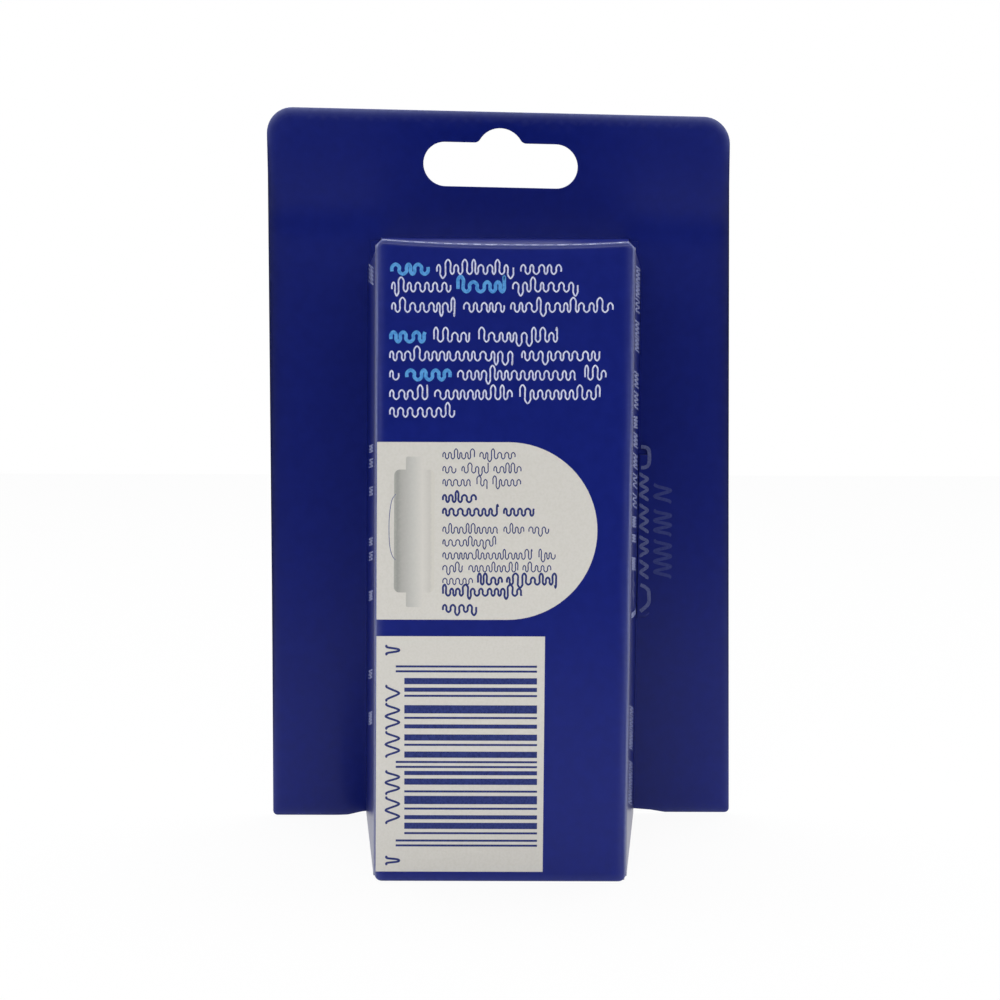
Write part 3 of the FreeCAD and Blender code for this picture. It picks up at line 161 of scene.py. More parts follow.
floor_mesh.from_pydata([(-0.5, -0.21, 0), (0.5, -0.21, 0), (0.5, 0.5, 0), (-0.5, 0.5, 0)], [], [(0, 1, 2, 3)])
floor_mesh.materials.append(made)
floor = put("floor", floor_mesh)

# Header card: two plies of paperboard, printed blue, glued face to face and die-cut together, so
# that their rims are softened and the ink wears pale there, with a painted highlight along them
# that is strongest at the top. Its top leans a little down to the right, as in the photograph. The
# attribute "fold" says how far the ink of a board wears pale, with painted highlight added.


def uneven(tree, shader, scale, depth):
    """Fine uneven surface as a bump on a shader; gives the object coordinates back. The scale is in
    grains to the metre: 1900 makes them half a millimetre, coarser than paper fibre, so they show."""
    spot = add(tree, "ShaderNodeTexCoord")["Object"]
    grain = add(tree, "ShaderNodeTexNoise", {"Scale": scale, "Detail": 5.0, "Roughness": 0.6}, Vector=spot)[0]
    bump = add(tree, "ShaderNodeBump", {"Strength": 0.35, "Distance": depth}, Height=grain)[0]
    tree.links.new(bump, shader.inputs["Normal"])
    return spot


def mottled(tree, shader, spot, stops, **noise):
    """Base colour of a shader, from a noise through colour stops; gives the noise back."""
    pattern = add(tree, "ShaderNodeTexNoise", noise, Vector=spot)[0]
    tone = add(tree, "ShaderNodeValToRGB", {"stops": stops}, i0=pattern)[0]
    tree.links.new(tone, shader.inputs["Base Color"])
    return pattern


# Offset-printed paperboard under a water-based coating: deep blue with a satin shine, mottled a
# little over 1.4 mm, and pale where a fold or a cut wore the ink, with painted highlight in that
# same pale tint along folds and rims.
blue_board, tree, shader = material(
    "blue_printed_board", Specular_IOR_Level=0.2, Coat_Weight=0.06, Coat_Roughness=0.15)
spot = uneven(tree, shader, 1900.0, 0.00003)
mottle = add(tree, "ShaderNodeTexNoise", {"Scale": 700.0, "Detail": 4.0}, Vector=spot)[0]
blue = add(tree, "ShaderNodeValToRGB", {"stops": [(0.3, "0B1A70"), (0.7, "0D1D77")]}, i0=mottle)[0]
patchiness_noise = add(tree, "ShaderNodeTexNoise", {"Scale": 1500.0, "Detail": 3.0}, Vector=spot)[0]
wear_and_highlight_patchiness = add(tree, "ShaderNodeMapRange", {"From Min": 0.3, "From Max": 0.68, "To Min": 0.85, "To Max": 1.05},
          Value=patchiness_noise)[0]
# The "fold" attribute mixes in a pale tint: ink wear plus painted highlight on folds and rims.
fold = add(tree, "ShaderNodeAttribute", {"attribute_name": "fold"})["Fac"]
wear_and_highlight_mask = add(tree, "ShaderNodeMath", {"operation": "MULTIPLY", "use_clamp": True}, i0=fold, i1=wear_and_highlight_patchiness)[0]
tint = add(tree, "ShaderNodeMix", {"data_type": "RGBA", 7: colour("8B93C0")}, i0=wear_and_highlight_mask, i6=blue)[2]
tree.links.new(tint, shader.inputs["Base Color"])
rough = add(tree, "ShaderNodeMapRange", {"To Min": 0.27, "To Max": 0.33}, Value=mottle)[0]
tree.links.new(rough, shader.inputs["Roughness"])

# Die-cut edge of the board: dull fibre in uneven layers, stained by the ink.
cut_edge, tree, shader = material("board_cut_edge", Roughness=0.85, Specular_IOR_Level=0.2)
spot = uneven(tree, shader, 2600.0, 0.00008)
mottled(tree, shader, spot, [(0.3, "3F4B8A"), (0.72, "7C86B6")], Scale=900.0, Detail=6.0, Roughness=0.7)

# Unprinted side of recycled board: off-white and dull, with flecks of pulp 2.4 mm apart.
plain_board, tree, shader = material("plain_board_inside", Roughness=0.9, Specular_IOR_Level=0.2)
spot = uneven(tree, shader, 1500.0, 0.00007)
mottled(tree, shader, spot, [(0.28, "C9C3B4"), (0.5, "DAD6CB"), (0.75, "E6E3DB")],
        Scale=420.0, Detail=7.0, Roughness=0.65)
board_sides = [blue_board, plain_board, cut_edge]


def link_piece(name, mesh, paint, body, replaced=()):
    """Makes a mesh into a smooth-shaded piece that rides on a body."""
    for layer in paint:
        mesh.materials.append(layer)
    mesh.polygons.foreach_set("use_smooth", [True] * len(mesh.polygons))
    mesh.set_sharp_from_angle(angle=math.radians(32))
    piece = put(name, mesh)
    if replaced:
        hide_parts(*replaced)
    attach(piece, body)
    return piece


def opened(mesh, merge=0.0):
    """Bmesh of a mesh, points nearer than a distance in metres merged."""
    bm = bmesh.new()
    bm.from_mesh(mesh)
    if merge:
        bmesh.ops.remove_doubles(bm, verts=bm.verts, dist=merge)
    return bm


def mesh_from(bm, name):
    """Mesh of a bmesh, its faces turned outwards."""
    bmesh.ops.recalc_face_normals(bm, faces=bm.faces)
    mesh = bpy.data.meshes.new(name)
    bm.to_mesh(mesh)
    bm.free()
    return mesh


CARD_HALF_WIDTH = 35
CARD_HALF_HEIGHT = 54
TOP_CORNER = 4.0
FOOT_CORNER = 0.7
RIM = 0.1
WEAR_AND_HIGHLIGHT_REACH = 0.42
RING_DEPTHS = (0.3, 0.55, 0.9, 1.4)
STEP_ACROSS, STEP_UP = 2.4, 2.0


def card_wear_and_highlight(point):
    """Ink wear and painted highlight at a point of the flat card: near its outline, most at the top."""
    corner = TOP_CORNER if point.z > CARD_HALF_HEIGHT * MM else FOOT_CORNER
    across = abs(point.x) / MM - (CARD_HALF_WIDTH - corner)
    along = abs(point.z / MM - CARD_HALF_HEIGHT) - (CARD_HALF_HEIGHT - corner)
    outside = math.hypot(max(across, 0), max(along, 0)) + min(max(across, along), 0) - corner
    # Painted highlight: a band along the card's top edge.
    high = min(1.0, max(0.0, (point.z / MM - 101) / 6))
    return (0.2 + 0.62 * high * high) * math.exp(outside / WEAR_AND_HIGHLIGHT_REACH)


def card_place(point):
    """Where a point of the drawn card comes to lie on the photographed one: a little askew, its top
    falling to the right, its lower left edge curled back and its lower right foot lifted."""
    x, y, z = point / MM
    lean = min(1.0, max(0.0, (z - 58) / 42))
    fall = math.tan(math.radians(1.15)) * lean * lean * (3 - 2 * lean)
    low = max(0.0, 1 - z / 60) ** 2
    curled = min(1.0, max(0.0, (-19.5 - x) / 6))
    lifted = min(1.0, max(0.0, (x - 10) / 12))
    return Vector((
        x * (1.0092 - 0.000175 * z) + 0.41 - 0.00703 * (z - 50),
        y - 1.15 * low * curled * curled * (3 - 2 * curled),
        z - x * fall - 0.2 * lean + 0.33 * low * lifted)) * MM


def closed_lines(faces, bm):
    """Closed outlines of a group of faces as points across and up, the group always on their left."""
    chosen = set(faces)
    joined = {}
    for edge in bm.edges:
        if len([f for f in edge.link_faces if f in chosen]) == 1:
            for here, there in (edge.verts, reversed(edge.verts)):
                joined.setdefault(here, []).append(there)
    lines = []
    while joined:
        here = next(iter(joined))
        line = []
        while here is not None:
            line.append(Vector((here.co.x, here.co.z)) / MM)
            here = next((v for v in joined.pop(here) if v in joined), None)
        lines.append(line)
    area = [sum(a.cross(b) for a, b in zip(line, line[1:] + line[:1])) for line in lines]
    widest = max(abs(value) for value in area)
    return [line if (value > 0) == (abs(value) == widest) else line[::-1] for line, value in zip(lines, area)]


def die_cut_ply(node):
    """Ply with softened rims from its die-cut outlines, cut finely near them and along its bend."""
    source = opened(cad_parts[node].data, 1e-7)
    sheets = []
    for side in (-1, 1):
        faces = [f for f in source.faces if side * f.normal.y > 0.5]
        sheets.append(sorted({(round(v.co.z / MM, 3), v.co.y / MM) for f in faces for v in f.verts}))
        if side < 0:
            lines = closed_lines(faces, source)
    source.free()

    def at_height(sheet, z):
        """How far back a side of the ply lies at a height."""
        for (z0, y0), (z1, y1) in zip(sheet, sheet[1:]):
            if z <= z1 and z1 > z0:
                return y0 + (y1 - y0) * (z - z0) / (z1 - z0)
        return sheet[-1][1]

    def face_y(side, z):
        """The same, smoothed over 0.8 mm each way, which rounds the bend."""
        reach = max(0.0, min(0.8, CARD_HALF_HEIGHT * 2 - RIM - z, z))
        return sum(at_height(sheets[side], z + reach * share) for share in (-1, -0.5, 0, 0.5, 1)) / 5

    rims = []
    for line in lines:
        fine = []
        for a, b in zip(line, line[1:] + line[:1]):
            parts = max(1, math.ceil((b - a).length / 0.9))
            fine += [a.lerp(b, i / parts) for i in range(parts)]
        inward = []
        for i, point in enumerate(fine):
            along = (fine[(i + 1) % len(fine)] - fine[i - 1]).normalized()
            inward.append(Vector((-along.y, along.x)))
        rims.append((fine, inward))
    near = mathutils.kdtree.KDTree(sum(len(fine) for fine, _ in rims))
    for point in [p for fine, _ in rims for p in fine]:
        near.insert((point.x, point.y, 0), 0)
    near.balance()

    flat, fixed = [], []
    for fine, inward in rims:
        first = len(flat)
        flat += [p + n * RIM for p, n in zip(fine, inward)]
        fixed += [(first + i, first + (i + 1) % len(fine)) for i in range(len(fine))]
    for fine, inward in rims:
        for depth in RING_DEPTHS:
            for point in [p + n * depth for p, n in zip(fine, inward)][::1 if depth < 1 else 2]:
                if near.find((point.x, point.y, 0))[2] > depth * 0.93:
                    flat.append(point)
    for i in range(-14, 15):
        for j in range(1, 54):
            point = Vector((i * STEP_ACROSS, j * STEP_UP))
            if near.find((point.x, point.y, 0))[2] > 1.9:
                flat.append(point)
    points, _, triangles, *_ = mathutils.geometry.delaunay_2d_cdt(flat, fixed, [], 0, 1e-6)

    def on_board(triangle):
        """Whether a triangle's middle lies within the outlines."""
        middle = (points[triangle[0]] + points[triangle[1]] + points[triangle[2]]) / 3
        crossed = 0
        for fine, _ in rims:
            for a, b in zip(fine, fine[1:] + fine[:1]):
                if (a.y > middle.y) != (b.y > middle.y):
                    crossed += middle.x < a.x + (b.x - a.x) * (middle.y - a.y) / (b.y - a.y)
        return crossed % 2 == 1

    triangles = [triangle for triangle in triangles if on_board(triangle)]

    bm = bmesh.new()
    mark = bm.verts.layers.float.new("fold")

    def add_point(point, y):
        """Vertex at a point of the flat card, moved to its place and marked with its wear and highlight."""
        flat_place = Vector((point.x, y, point.y)) * MM
        vert = bm.verts.new(card_place(flat_place))
        vert[mark] = card_wear_and_highlight(flat_place)
        return vert

    for side in (0, 1):
        sheet = [add_point(point, face_y(side, point.y)) for point in points]
        for triangle in triangles:
            bm.faces.new([sheet[i] for i in triangle])
    for fine, inward in rims:
        columns = []
        for point, turned in zip(fine, inward):
            rear, front = face_y(0, point.y), face_y(1, point.y)
            profile = (
                (RIM, rear), (0.03, rear + 0.03), (0.0, rear + RIM),
                (0.0, front - RIM), (0.03, front - 0.03), (RIM, front))
            columns.append([add_point(point + turned * depth, y) for depth, y in profile])
        for here, there in zip(columns, columns[1:] + columns[:1]):
            for i in range(5):
                bm.faces.new((here[i], here[i + 1], there[i + 1], there[i])).material_index = int(0 < i < 4)
    bmesh.ops.remove_doubles(bm, verts=bm.verts, dist=2e-6)
    return mesh_from(bm, node)


for node in ("hang_card_back", "hang_card_front"):
    link_piece(f"die_cut_{node}", die_cut_ply(node), [blue_board, cut_edge], "pack", replaced=[node])

# Carton: one blank of the same board, creased, folded and glued. The back panel wraps round its
# folds, the side walls start behind them and slope down at their tops, and the ends close with
# panels over dust flaps. It leans a little, as in the photograph. Sizes are in millimetres.

CARTON_X = 0.8
BACK = -20.45
CARD_FACE = 19.55
TOP = 89.0
BOARD = 0.45
SLOPE = 3.0 / 40.0
WALL_DROP = 4.0 / 40.0
FOLD = 0.7
FOOT_FOLD = 0.25
WALL_GAP = 0.25
WALL_FOLD = 0.5
HALF_BACK = 17.75
LEAN = math.radians(0.33)
LEAN_CENTRE = 50


def askew(point):
    """Point of the carton in metres, with the small lean that the photographed carton has."""
    x, y, z = point
    return Vector((x + LEAN * (z - LEAN_CENTRE), y, z)) * MM


def shell(name, place, across, along, wear_and_highlight_mask, body, replaced):
    """Board piece from a grid of outside points: printed outside, plain inside, cut edges between."""
    bm = bmesh.new()
    mark = bm.verts.layers.float.new("fold")
    grid = [[bm.verts.new(askew(place(u, v))) for v in along] for u in across]
    for left, right in zip(grid, grid[1:]):
        for a, b, c, d in zip(left, right, right[1:], left[1:]):
            bm.faces.new((a, b, c, d))
    bm.normal_update()
    centre = Vector((CARTON_X, 0, 45)) * MM
    outwards = sum(f.normal.dot(f.calc_center_median() - centre) * f.calc_area() for f in bm.faces)
    sign = -1 if outwards > 0 else 1
    inner = [[bm.verts.new(v.co + v.normal * sign * BOARD * MM) for v in column] for column in grid]
    # Each outside point carries its ink wear and painted highlight in the "fold" attribute.
    for u, column in zip(across, grid):
        for v, vert in zip(along, column):
            vert[mark] = wear_and_highlight_mask(u, v)
    for left, right in zip(inner, inner[1:]):
        for a, b, c, d in zip(left, right, right[1:], left[1:]):
            bm.faces.new((d, c, b, a)).material_index = 1
    rims = (
        list(zip(grid[0], inner[0])), list(zip(grid[-1], inner[-1])),
        [(c[0], d[0]) for c, d in zip(grid, inner)], [(c[-1], d[-1]) for c, d in zip(grid, inner)])
    for rim in rims:
        for (a, b), (c, d) in zip(rim, rim[1:]):
            bm.faces.new((a, c, d, b)).material_index = 2
    link_piece(name, mesh_from(bm, name), board_sides, body, replaced=replaced)


def wear_and_highlight(distance, crest, halo, reach=0.75):
    """Wear and painted highlight off a fold's middle: narrow bright crest, wider faint halo."""
    return crest * math.exp(-(distance / 0.16) ** 2) + halo * math.exp(-(distance / reach) ** 2)


# Half of the back panel's section, from its middle round the fold: across, back, turn, and ink wear with
# painted highlight.
flat_end = HALF_BACK - FOLD - 1.6
half_section = [(x, BACK, 0.0, wear_and_highlight(HALF_BACK - FOLD + 0.55 - x, 0.0, 0.16))
                for x in [flat_end * i / 14 for i in range(15)]]
half_section += [(flat_end + 0.2 * i, BACK, 0.0, wear_and_highlight(2.15 - 0.2 * i, 0.0, 0.16)) for i in range(1, 9)]
for i in range(1, 10):
    turn = math.radians(9.5 * i)
    half_section.append((
        HALF_BACK - FOLD + FOLD * math.sin(turn), BACK + FOLD * (1 - math.cos(turn)), turn,
        wear_and_highlight(FOLD * abs(turn - math.radians(45)), 0.42, 0.16)))
half_section.append((HALF_BACK + SLOPE * (FOLD + 0.2), BACK + FOLD + 0.2, math.pi / 2, 0.1))
section = [(-x, y, t, r) for x, y, t, r in reversed(half_section[1:])] + half_section
CREASE_RISE = 0.59
CREASE_SAG = 0.495
CREASE_HALF = 16.5


def back_top(x):
    """Height of the panel's top at a place across it: its corners are clipped, its crease sags."""
    clip = min(1.0, max(0.0, (abs(x) - (HALF_BACK - 0.85)) / 0.8)) * 0.85
    sag = CREASE_SAG * (1 - min(1.0, abs(x) / CREASE_HALF) ** 2.4)
    return TOP + CREASE_RISE - 0.008 * x - clip - sag


def back_foot(x):
    """Height of the panel's foot at a place across it: its corners are rounded."""
    corner = 1.2
    over = min(1.0, max(0.0, (abs(x) - (HALF_BACK - corner)) / corner))
    return corner * (1 - math.sqrt(1 - 0.98 * over * over))


def swell(z):
    """How far the back panel bulges out towards its foot."""
    return 0.6 * max(0.0, 1 - z / 60) ** 2


def back_place(u, v):
    """Point of the back panel at a step of its section and a share of its height: past 1 it turns
    into the top panel, and under 0 in at the foot."""
    x, y, turn, _ = section[u]
    top, foot = back_top(x), back_foot(x)
    flat = math.cos(turn)
    y -= flat * swell(max(v, 0) * TOP)
    if v > 1:
        fold = (v - 1) * math.pi / 2
        return CARTON_X + x, y + flat * FOLD * (1 - math.cos(fold)), top - FOLD + FOLD * math.sin(fold)
    if v < 0:
        fold = -v * math.pi / 2
        turned = FOOT_FOLD * (1 - math.cos(fold))
        return CARTON_X + x, y + flat * turned, foot + FOOT_FOLD - FOOT_FOLD * math.sin(fold)
    return CARTON_X + x, y, foot + FOOT_FOLD + (top - FOLD - foot - FOOT_FOLD) * v


def back_wear_and_highlight(u, v):
    """Wear and painted highlight on the back panel: along its top, its foot and its two folds."""
    height = 86
    up = FOLD * (v - 1.5) * math.pi / 2 if v > 1 else (v - 1) * height - 0.55
    down = 0.4 * (v + 0.5) * math.pi / 2 if v < 0 else v * height + 0.31
    ends = wear_and_highlight(up, 0.34, 0.14, 0.4) + wear_and_highlight(down, 0.3, 0.1, 0.4)
    sides = section[u][3] * (1 + 0.35 * math.sin(v * 9 + u) * math.sin(v * 23))
    return min(1.0, sides + ends)


foot_steps = [-1.0, -0.75, -0.5, -0.25, 0.0, 0.01, 0.02]
end_steps = [0.97, 0.985, 0.992, 0.996, 0.998, 1.0, 1.25, 1.5, 1.75, 2.0]
heights = foot_steps + [i / 60 for i in range(2, 59)] + end_steps
shell(
    "folded_back_panel", back_place, range(len(section)), heights, back_wear_and_highlight, "carton_door", ["back_panel"])


def wall_place(side, front):
    """Side wall from behind the fold to the card, its sloping top turned in over the dust flap."""
    def place(u, v):
        y = BACK + FOLD + WALL_GAP + (front - BACK - FOLD - WALL_GAP) * u
        out = CARTON_X + side * (HALF_BACK + (y - BACK) * SLOPE)
        crease = TOP - BOARD - (y - BACK) * WALL_DROP
        if v > 1:
            turn = (v - 1) * math.pi / 2
            turned = out - side * WALL_FOLD * (1 - math.cos(turn))
            return turned, y, crease - WALL_FOLD + WALL_FOLD * math.sin(turn)
        return out, y, BOARD + (crease - WALL_FOLD - BOARD) * v
    return place


def wall_wear_and_highlight(u, v):
    """Wear and painted highlight on a side wall: along its top and its foot, and at the edge by the back
    panel.
    """
    height = 86
    up = WALL_FOLD * (v - 1.5) * math.pi / 2 if v > 1 else (v - 1) * height - 0.4
    return 0.1 * math.exp(-u * 9) + wear_and_highlight(up, 0.3, 0.1, 0.4) + 0.16 * math.exp(-v * 60)


steps = [i / 30 for i in range(31)]
wall_heights = [0.0, 0.01, 0.02] + [i / 40 for i in range(1, 41)] + [1.25, 1.5, 1.75, 2.0]
shell("folded_left_wall", wall_place(-1, CARD_FACE), steps, wall_heights, wall_wear_and_highlight, "pack", ["left_wall"])
shell("folded_right_wall", wall_place(1, CARD_FACE - 0.1), steps, wall_heights, wall_wear_and_highlight, "side_panel",
      ["right_wall"])
PANEL_DEPTH = 39.3
CORNER_CUT = 0.9


def cut_through(bm, point, direction, near=0.0):
    """Cuts all faces of a bmesh where a plane passes through them."""
    whole = bm.verts[:] + bm.edges[:] + bm.faces[:]
    bmesh.ops.bisect_plane(bm, geom=whole, plane_co=point, plane_no=direction, dist=near)


def two_sided(node, printed, body="pack", wrapped=1.0):
    """Board piece of a node's own form, printed on the side that faces along a direction, and on the
    other above a height in metres. The top panel meets the sagging crease, and the bottom panel's
    corner at the left crease is cut back, to let the back panel swing."""
    bm = opened(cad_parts[node].data, 1e-7)
    bmesh.ops.dissolve_limit(bm, angle_limit=math.radians(1), verts=bm.verts, edges=bm.edges)
    cuts = [((0, 0, wrapped), (0, 0, 1))]
    if node == "top_panel":
        across_step, back_step = 0.002, 0.004
        cuts += [((i * across_step, 0, 0), (1, 0, 0)) for i in range(-9, 11)]
        cuts += [((0, i * back_step, 0), (0, 1, 0)) for i in range(-4, 5)]
    for point, direction in cuts:
        cut_through(bm, point, direction)
    bmesh.ops.triangulate(bm, faces=bm.faces)
    for face in bm.faces:
        facing = face.normal.dot(Vector(printed))
        above = face.calc_center_median().z > wrapped
        face.material_index = 0 if facing > 0.8 or above else 1 if facing < -0.8 else 2
    for vert in bm.verts:
        x, y, _ = vert.co / MM
        if node == "top_panel":
            inside = max(-CREASE_HALF, min(CREASE_HALF, x - CARTON_X))
            vert.co.z += (back_top(inside) - TOP) * max(0.0, 1 - (y - BACK - FOLD) / PANEL_DEPTH) * MM
        if node == "bottom_panel" and x < 0 and y < -19:
            vert.co.x += CORNER_CUT * MM
        vert.co.x += LEAN * (vert.co.z - LEAN_CENTRE * MM)
    link_piece(f"printed_{node}", mesh_from(bm, node), board_sides, body, [node])


two_sided("carton_front_panel", (0, 1, 0), wrapped=0.0838)
for node, printed in (
        ("top_panel", (0, 0, 1)), ("bottom_panel", (0, 0, -1)),
        ("top_dust_flap_left", (0, 0, 1)), ("top_dust_flap_right", (0, 0, 1))):
    two_sided(node, printed)
for node, printed in (
        ("bottom_dust_flap_left", (0, 0, -1)), ("bottom_dust_flap_right", (0, 0, -1)),
        ("top_glue_tab", (0, 1, 0)), ("bottom_glue_tab", (0, 1, 0)), ("side_glue_flap", (1, 0, 0))):
    two_sided(node, printed)
two_sided("opening_tab", (0, -1, 0), "tear_tab")

# Print on the carton's back: a white panel with a round end and a drawn refill, and a white label.
# Each is a thin film of offset ink lying on the board.


def ink(name, dark, light, roughness):
    """Printed ink: two close tones in a screen of 0.3 mm, coarser than a printer's so that it
    shows, and the coating's satin over it."""
    made, tree, shader = material(name, Roughness=roughness, Specular_IOR_Level=0.25)
    spot = uneven(tree, shader, 1900.0, 0.00002)
    mottled(tree, shader, spot, [(0.35, dark), (0.6, light)], Scale=3200.0, Detail=2.0)
    return made


# Offset inks: an opaque white that lies matt and a little grey on the blue, light tints for strokes
# on the blue, a navy for strokes on the white, and violets that hardly show on the board.
white_ink = ink("white_ink", "D6D3CB", "DAD7D0", 0.5)
pale_ink = ink("pale_blue_ink", "B9BEE0", "D9DCF0", 0.45)
sky_ink = ink("sky_blue_ink", "3E86CC", "5AA0DE", 0.45)
wall_ink = ink("dull_violet_ink", "7B83B2", "9AA1C8", 0.5)
navy_ink = ink("navy_ink", "1E2A68", "2A3779", 0.45)
faint_ink = ink("faint_violet_ink", "4C5388", "5E6696", 0.5)
dim_ink = ink("dim_violet_ink", "2C3678", "343E80", 0.5)
FILM = 0.03


def on_back(lift):
    """Place for prints on the back panel, from millimetres off the carton's middle and its foot."""
    return lambda a, b, rise: askew((CARTON_X + a, BACK - swell(b) - lift - rise, b))


def on_wall(side):
    """Place for prints on a side wall, from millimetres behind the fold and above the foot."""
    return lambda a, b, rise: askew((CARTON_X + side * (HALF_BACK + a * SLOPE + rise), BACK + a, b))


def film_piece(name, outlines, paint, lift=0.0, thick=FILM):
    """Thin solid films on the back panel over outlines of flat points, cut level to follow its swell."""
    bm = bmesh.new()
    for outline in outlines:
        low = [bm.verts.new((a, b, 0.0)) for a, b in outline]
        high = [bm.verts.new((a, b, thick)) for a, b in outline]
        bm.faces.new(high)
        bm.faces.new(low[::-1])
        for i in range(len(outline)):
            j = (i + 1) % len(outline)
            bm.faces.new((low[i], low[j], high[j], high[i]))
    for level in range(2, 86, 2):
        cut_through(bm, (0, level, 0), (0, 1, 0), 1e-4)
    for vert in bm.verts:
        vert.co = on_back(lift)(*vert.co)
    link_piece(name, mesh_from(bm, name), [paint], "carton_door")


# The photograph's middle and lens in pixels, and how its camera was held.
MIDDLE = 500
LENS_PIXELS = 2695.8
TILT, TILT_COSINE, TILT_SINE = 0.119, 0.9929, 0.1187
ROLL = 0.0028
EYE_ASIDE = 0.37


def seen(x, y, away):
    """Place across and up, in millimetres, of a pixel of the photograph on an upright plane at a
    distance from the camera, which is tilted down and rolled a little."""
    right = x - MIDDLE + ROLL * (y - MIDDLE)
    down = y - MIDDLE - ROLL * (x - MIDDLE)
    up = EYE_HIGH - away * math.tan(TILT + math.atan(down / LENS_PIXELS))
    return right * (away * TILT_COSINE + (EYE_HIGH - up) * TILT_SINE) / LENS_PIXELS + EYE_ASIDE, up


def on_face(x, y):
    """Place on the back face of a pixel of the photograph, from the face's middle and foot."""
    right, up = seen(x, y, EYE_BACK + BACK)
    return right - CARTON_X - LEAN * (up - LEAN_CENTRE), up


def box(left, right, high, low):
    """Rectangle between pixels of the photograph on the back face."""
    middle = (high + low) / 2
    x0, x1 = on_face(left, middle)[0], on_face(right, middle)[0]
    z0, z1 = on_face(left, low)[1], on_face(left, high)[1]
    return [(x0, z0), (x1, z0), (x1, z1), (x0, z1)]


foot_z, top_z = on_face(MIDDLE, 619.8)[1], on_face(MIDDLE, 442.3)[1]
radius = (top_z - foot_z) / 2
right_x = on_face(597.4, 531)[0]
left_x = -HALF_BACK + 0.3
panel = [(left_x, foot_z)]
for i in range(41):
    turn = math.radians(-90 + 4.5 * i)
    panel.append((right_x - radius + radius * math.cos(turn), (top_z + foot_z) / 2 + radius * math.sin(turn)))
panel.append((left_x, top_z))
label = box(377, 543.8, 636, 870.4)
label[0] = (left_x, label[0][1])
label[3] = (left_x, label[3][1])
film_piece("white_round_panel", [panel], white_ink)
film_piece("white_bar_label", [label], white_ink)

# Grey halftone over the white: the light falls off across it, as over a round spool.
grey_print, tree, shader = material("printed_refill_grey", Roughness=0.5, Specular_IOR_Level=0.25)
spot = uneven(tree, shader, 1900.0, 0.00002)
across = add(tree, "ShaderNodeSeparateXYZ", i0=spot)["X"]
centre_x = (CARTON_X + on_face(414.3, 531)[0]) * MM
HALF_SPOOL = 2.8 * MM
fuzz = add(tree, "ShaderNodeTexNoise", {"Scale": 2500.0, "Detail": 3.0}, Vector=spot)[0]
placed = add(
    tree, "ShaderNodeMapRange", {"From Min": centre_x - HALF_SPOOL, "From Max": centre_x + HALF_SPOOL},
    Value=across)[0]
placed = add(tree, "ShaderNodeMath", {"operation": "MULTIPLY_ADD", 1: 0.12}, i0=fuzz, i2=placed)[0]
tone = add(tree, "ShaderNodeValToRGB", {"stops": [
    (0.04, "B2B2AC"), (0.14, "9D9E99"), (0.24, "B1B0AB"), (0.4, "BEBDB8"), (0.55, "CAC9C3"),
    (0.76, "D9D6CF"), (0.95, "CDCAC3"), (1.06, "D6D3CA")]}, i0=placed)[0]
tree.links.new(tone, shader.inputs["Base Color"])


def rounded_box(left, right, high, low, reach):
    """Rectangle between pixels of the photograph, its corners cut round."""
    (x0, z0), _, (x1, z1), _ = box(left, right, high, low)
    outline = []
    for x, z, start in (
            (x1 - reach, z0 + reach, -90), (x1 - reach, z1 - reach, 0),
            (x0 + reach, z1 - reach, 90), (x0 + reach, z0 + reach, 180)):
        for i in range(7):
            turn = math.radians(start + 15 * i)
            outline.append((x + reach * math.cos(turn), z + reach * math.sin(turn)))
    return outline


film_piece(
    "drawn_refill_stubs",
    [rounded_box(406, 422.5, 456.6, 474, 0.25), rounded_box(406, 422, 588, 607, 0.25)],
    grey_print, FILM, 0.008)
film_piece("drawn_refill", [rounded_box(394, 434.4, 469.6, 592.4, 0.8)], grey_print, FILM + 0.006, 0.008)

# Printed bars and scribbles: flat strokes of offset ink, navy on the white films and pale on the
# blue board. One geometry node tree sets a block on each point, and another draws along each line.


def print_tree(name, sockets, result):
    """Geometry node tree with named inputs, some with a starting value, and one geometry output."""
    made = bpy.data.node_groups.new(name, "GeometryNodeTree")
    for title, kind, *value in sockets:
        socket = made.interface.new_socket(title, in_out="INPUT", socket_type=f"NodeSocket{kind}")
        if value:
            socket.default_value = value[0]
    made.interface.new_socket(result, in_out="OUTPUT", socket_type="NodeSocketGeometry")
    return made, add(made, "NodeGroupInput")


def give_out(tree, shapes, paint):
    """Ends a geometry node tree with its shapes made real, in a material."""
    real = add(tree, "GeometryNodeRealizeInstances", i0=shapes)[0]
    inked = add(tree, "GeometryNodeSetMaterial", Geometry=real, Material=paint)[0]
    add(tree, "NodeGroupOutput", i0=inked)


blocks_tree, given = print_tree(
    "print_blocks", (("Points", "Geometry"), ("Thickness", "Float"), ("Ink", "Material")), "Blocks")
sizes = add(blocks_tree, "GeometryNodeInputNamedAttribute", {
    "data_type": "FLOAT_VECTOR", "Name": "block_size"})[0]
flat = add(blocks_tree, "ShaderNodeCombineXYZ", {0: 1.0, 1: 1.0}, i2=given["Thickness"])[0]
scaled = add(blocks_tree, "ShaderNodeVectorMath", {"operation": "MULTIPLY"}, i0=sizes, i1=flat)[0]
unit = add(blocks_tree, "GeometryNodeMeshCube", {"Size": (1, 1, 1)})[0]
set_on = add(
    blocks_tree, "GeometryNodeInstanceOnPoints", Points=given["Points"], Instance=unit, Scale=scaled)[0]
give_out(blocks_tree, set_on, given["Ink"])


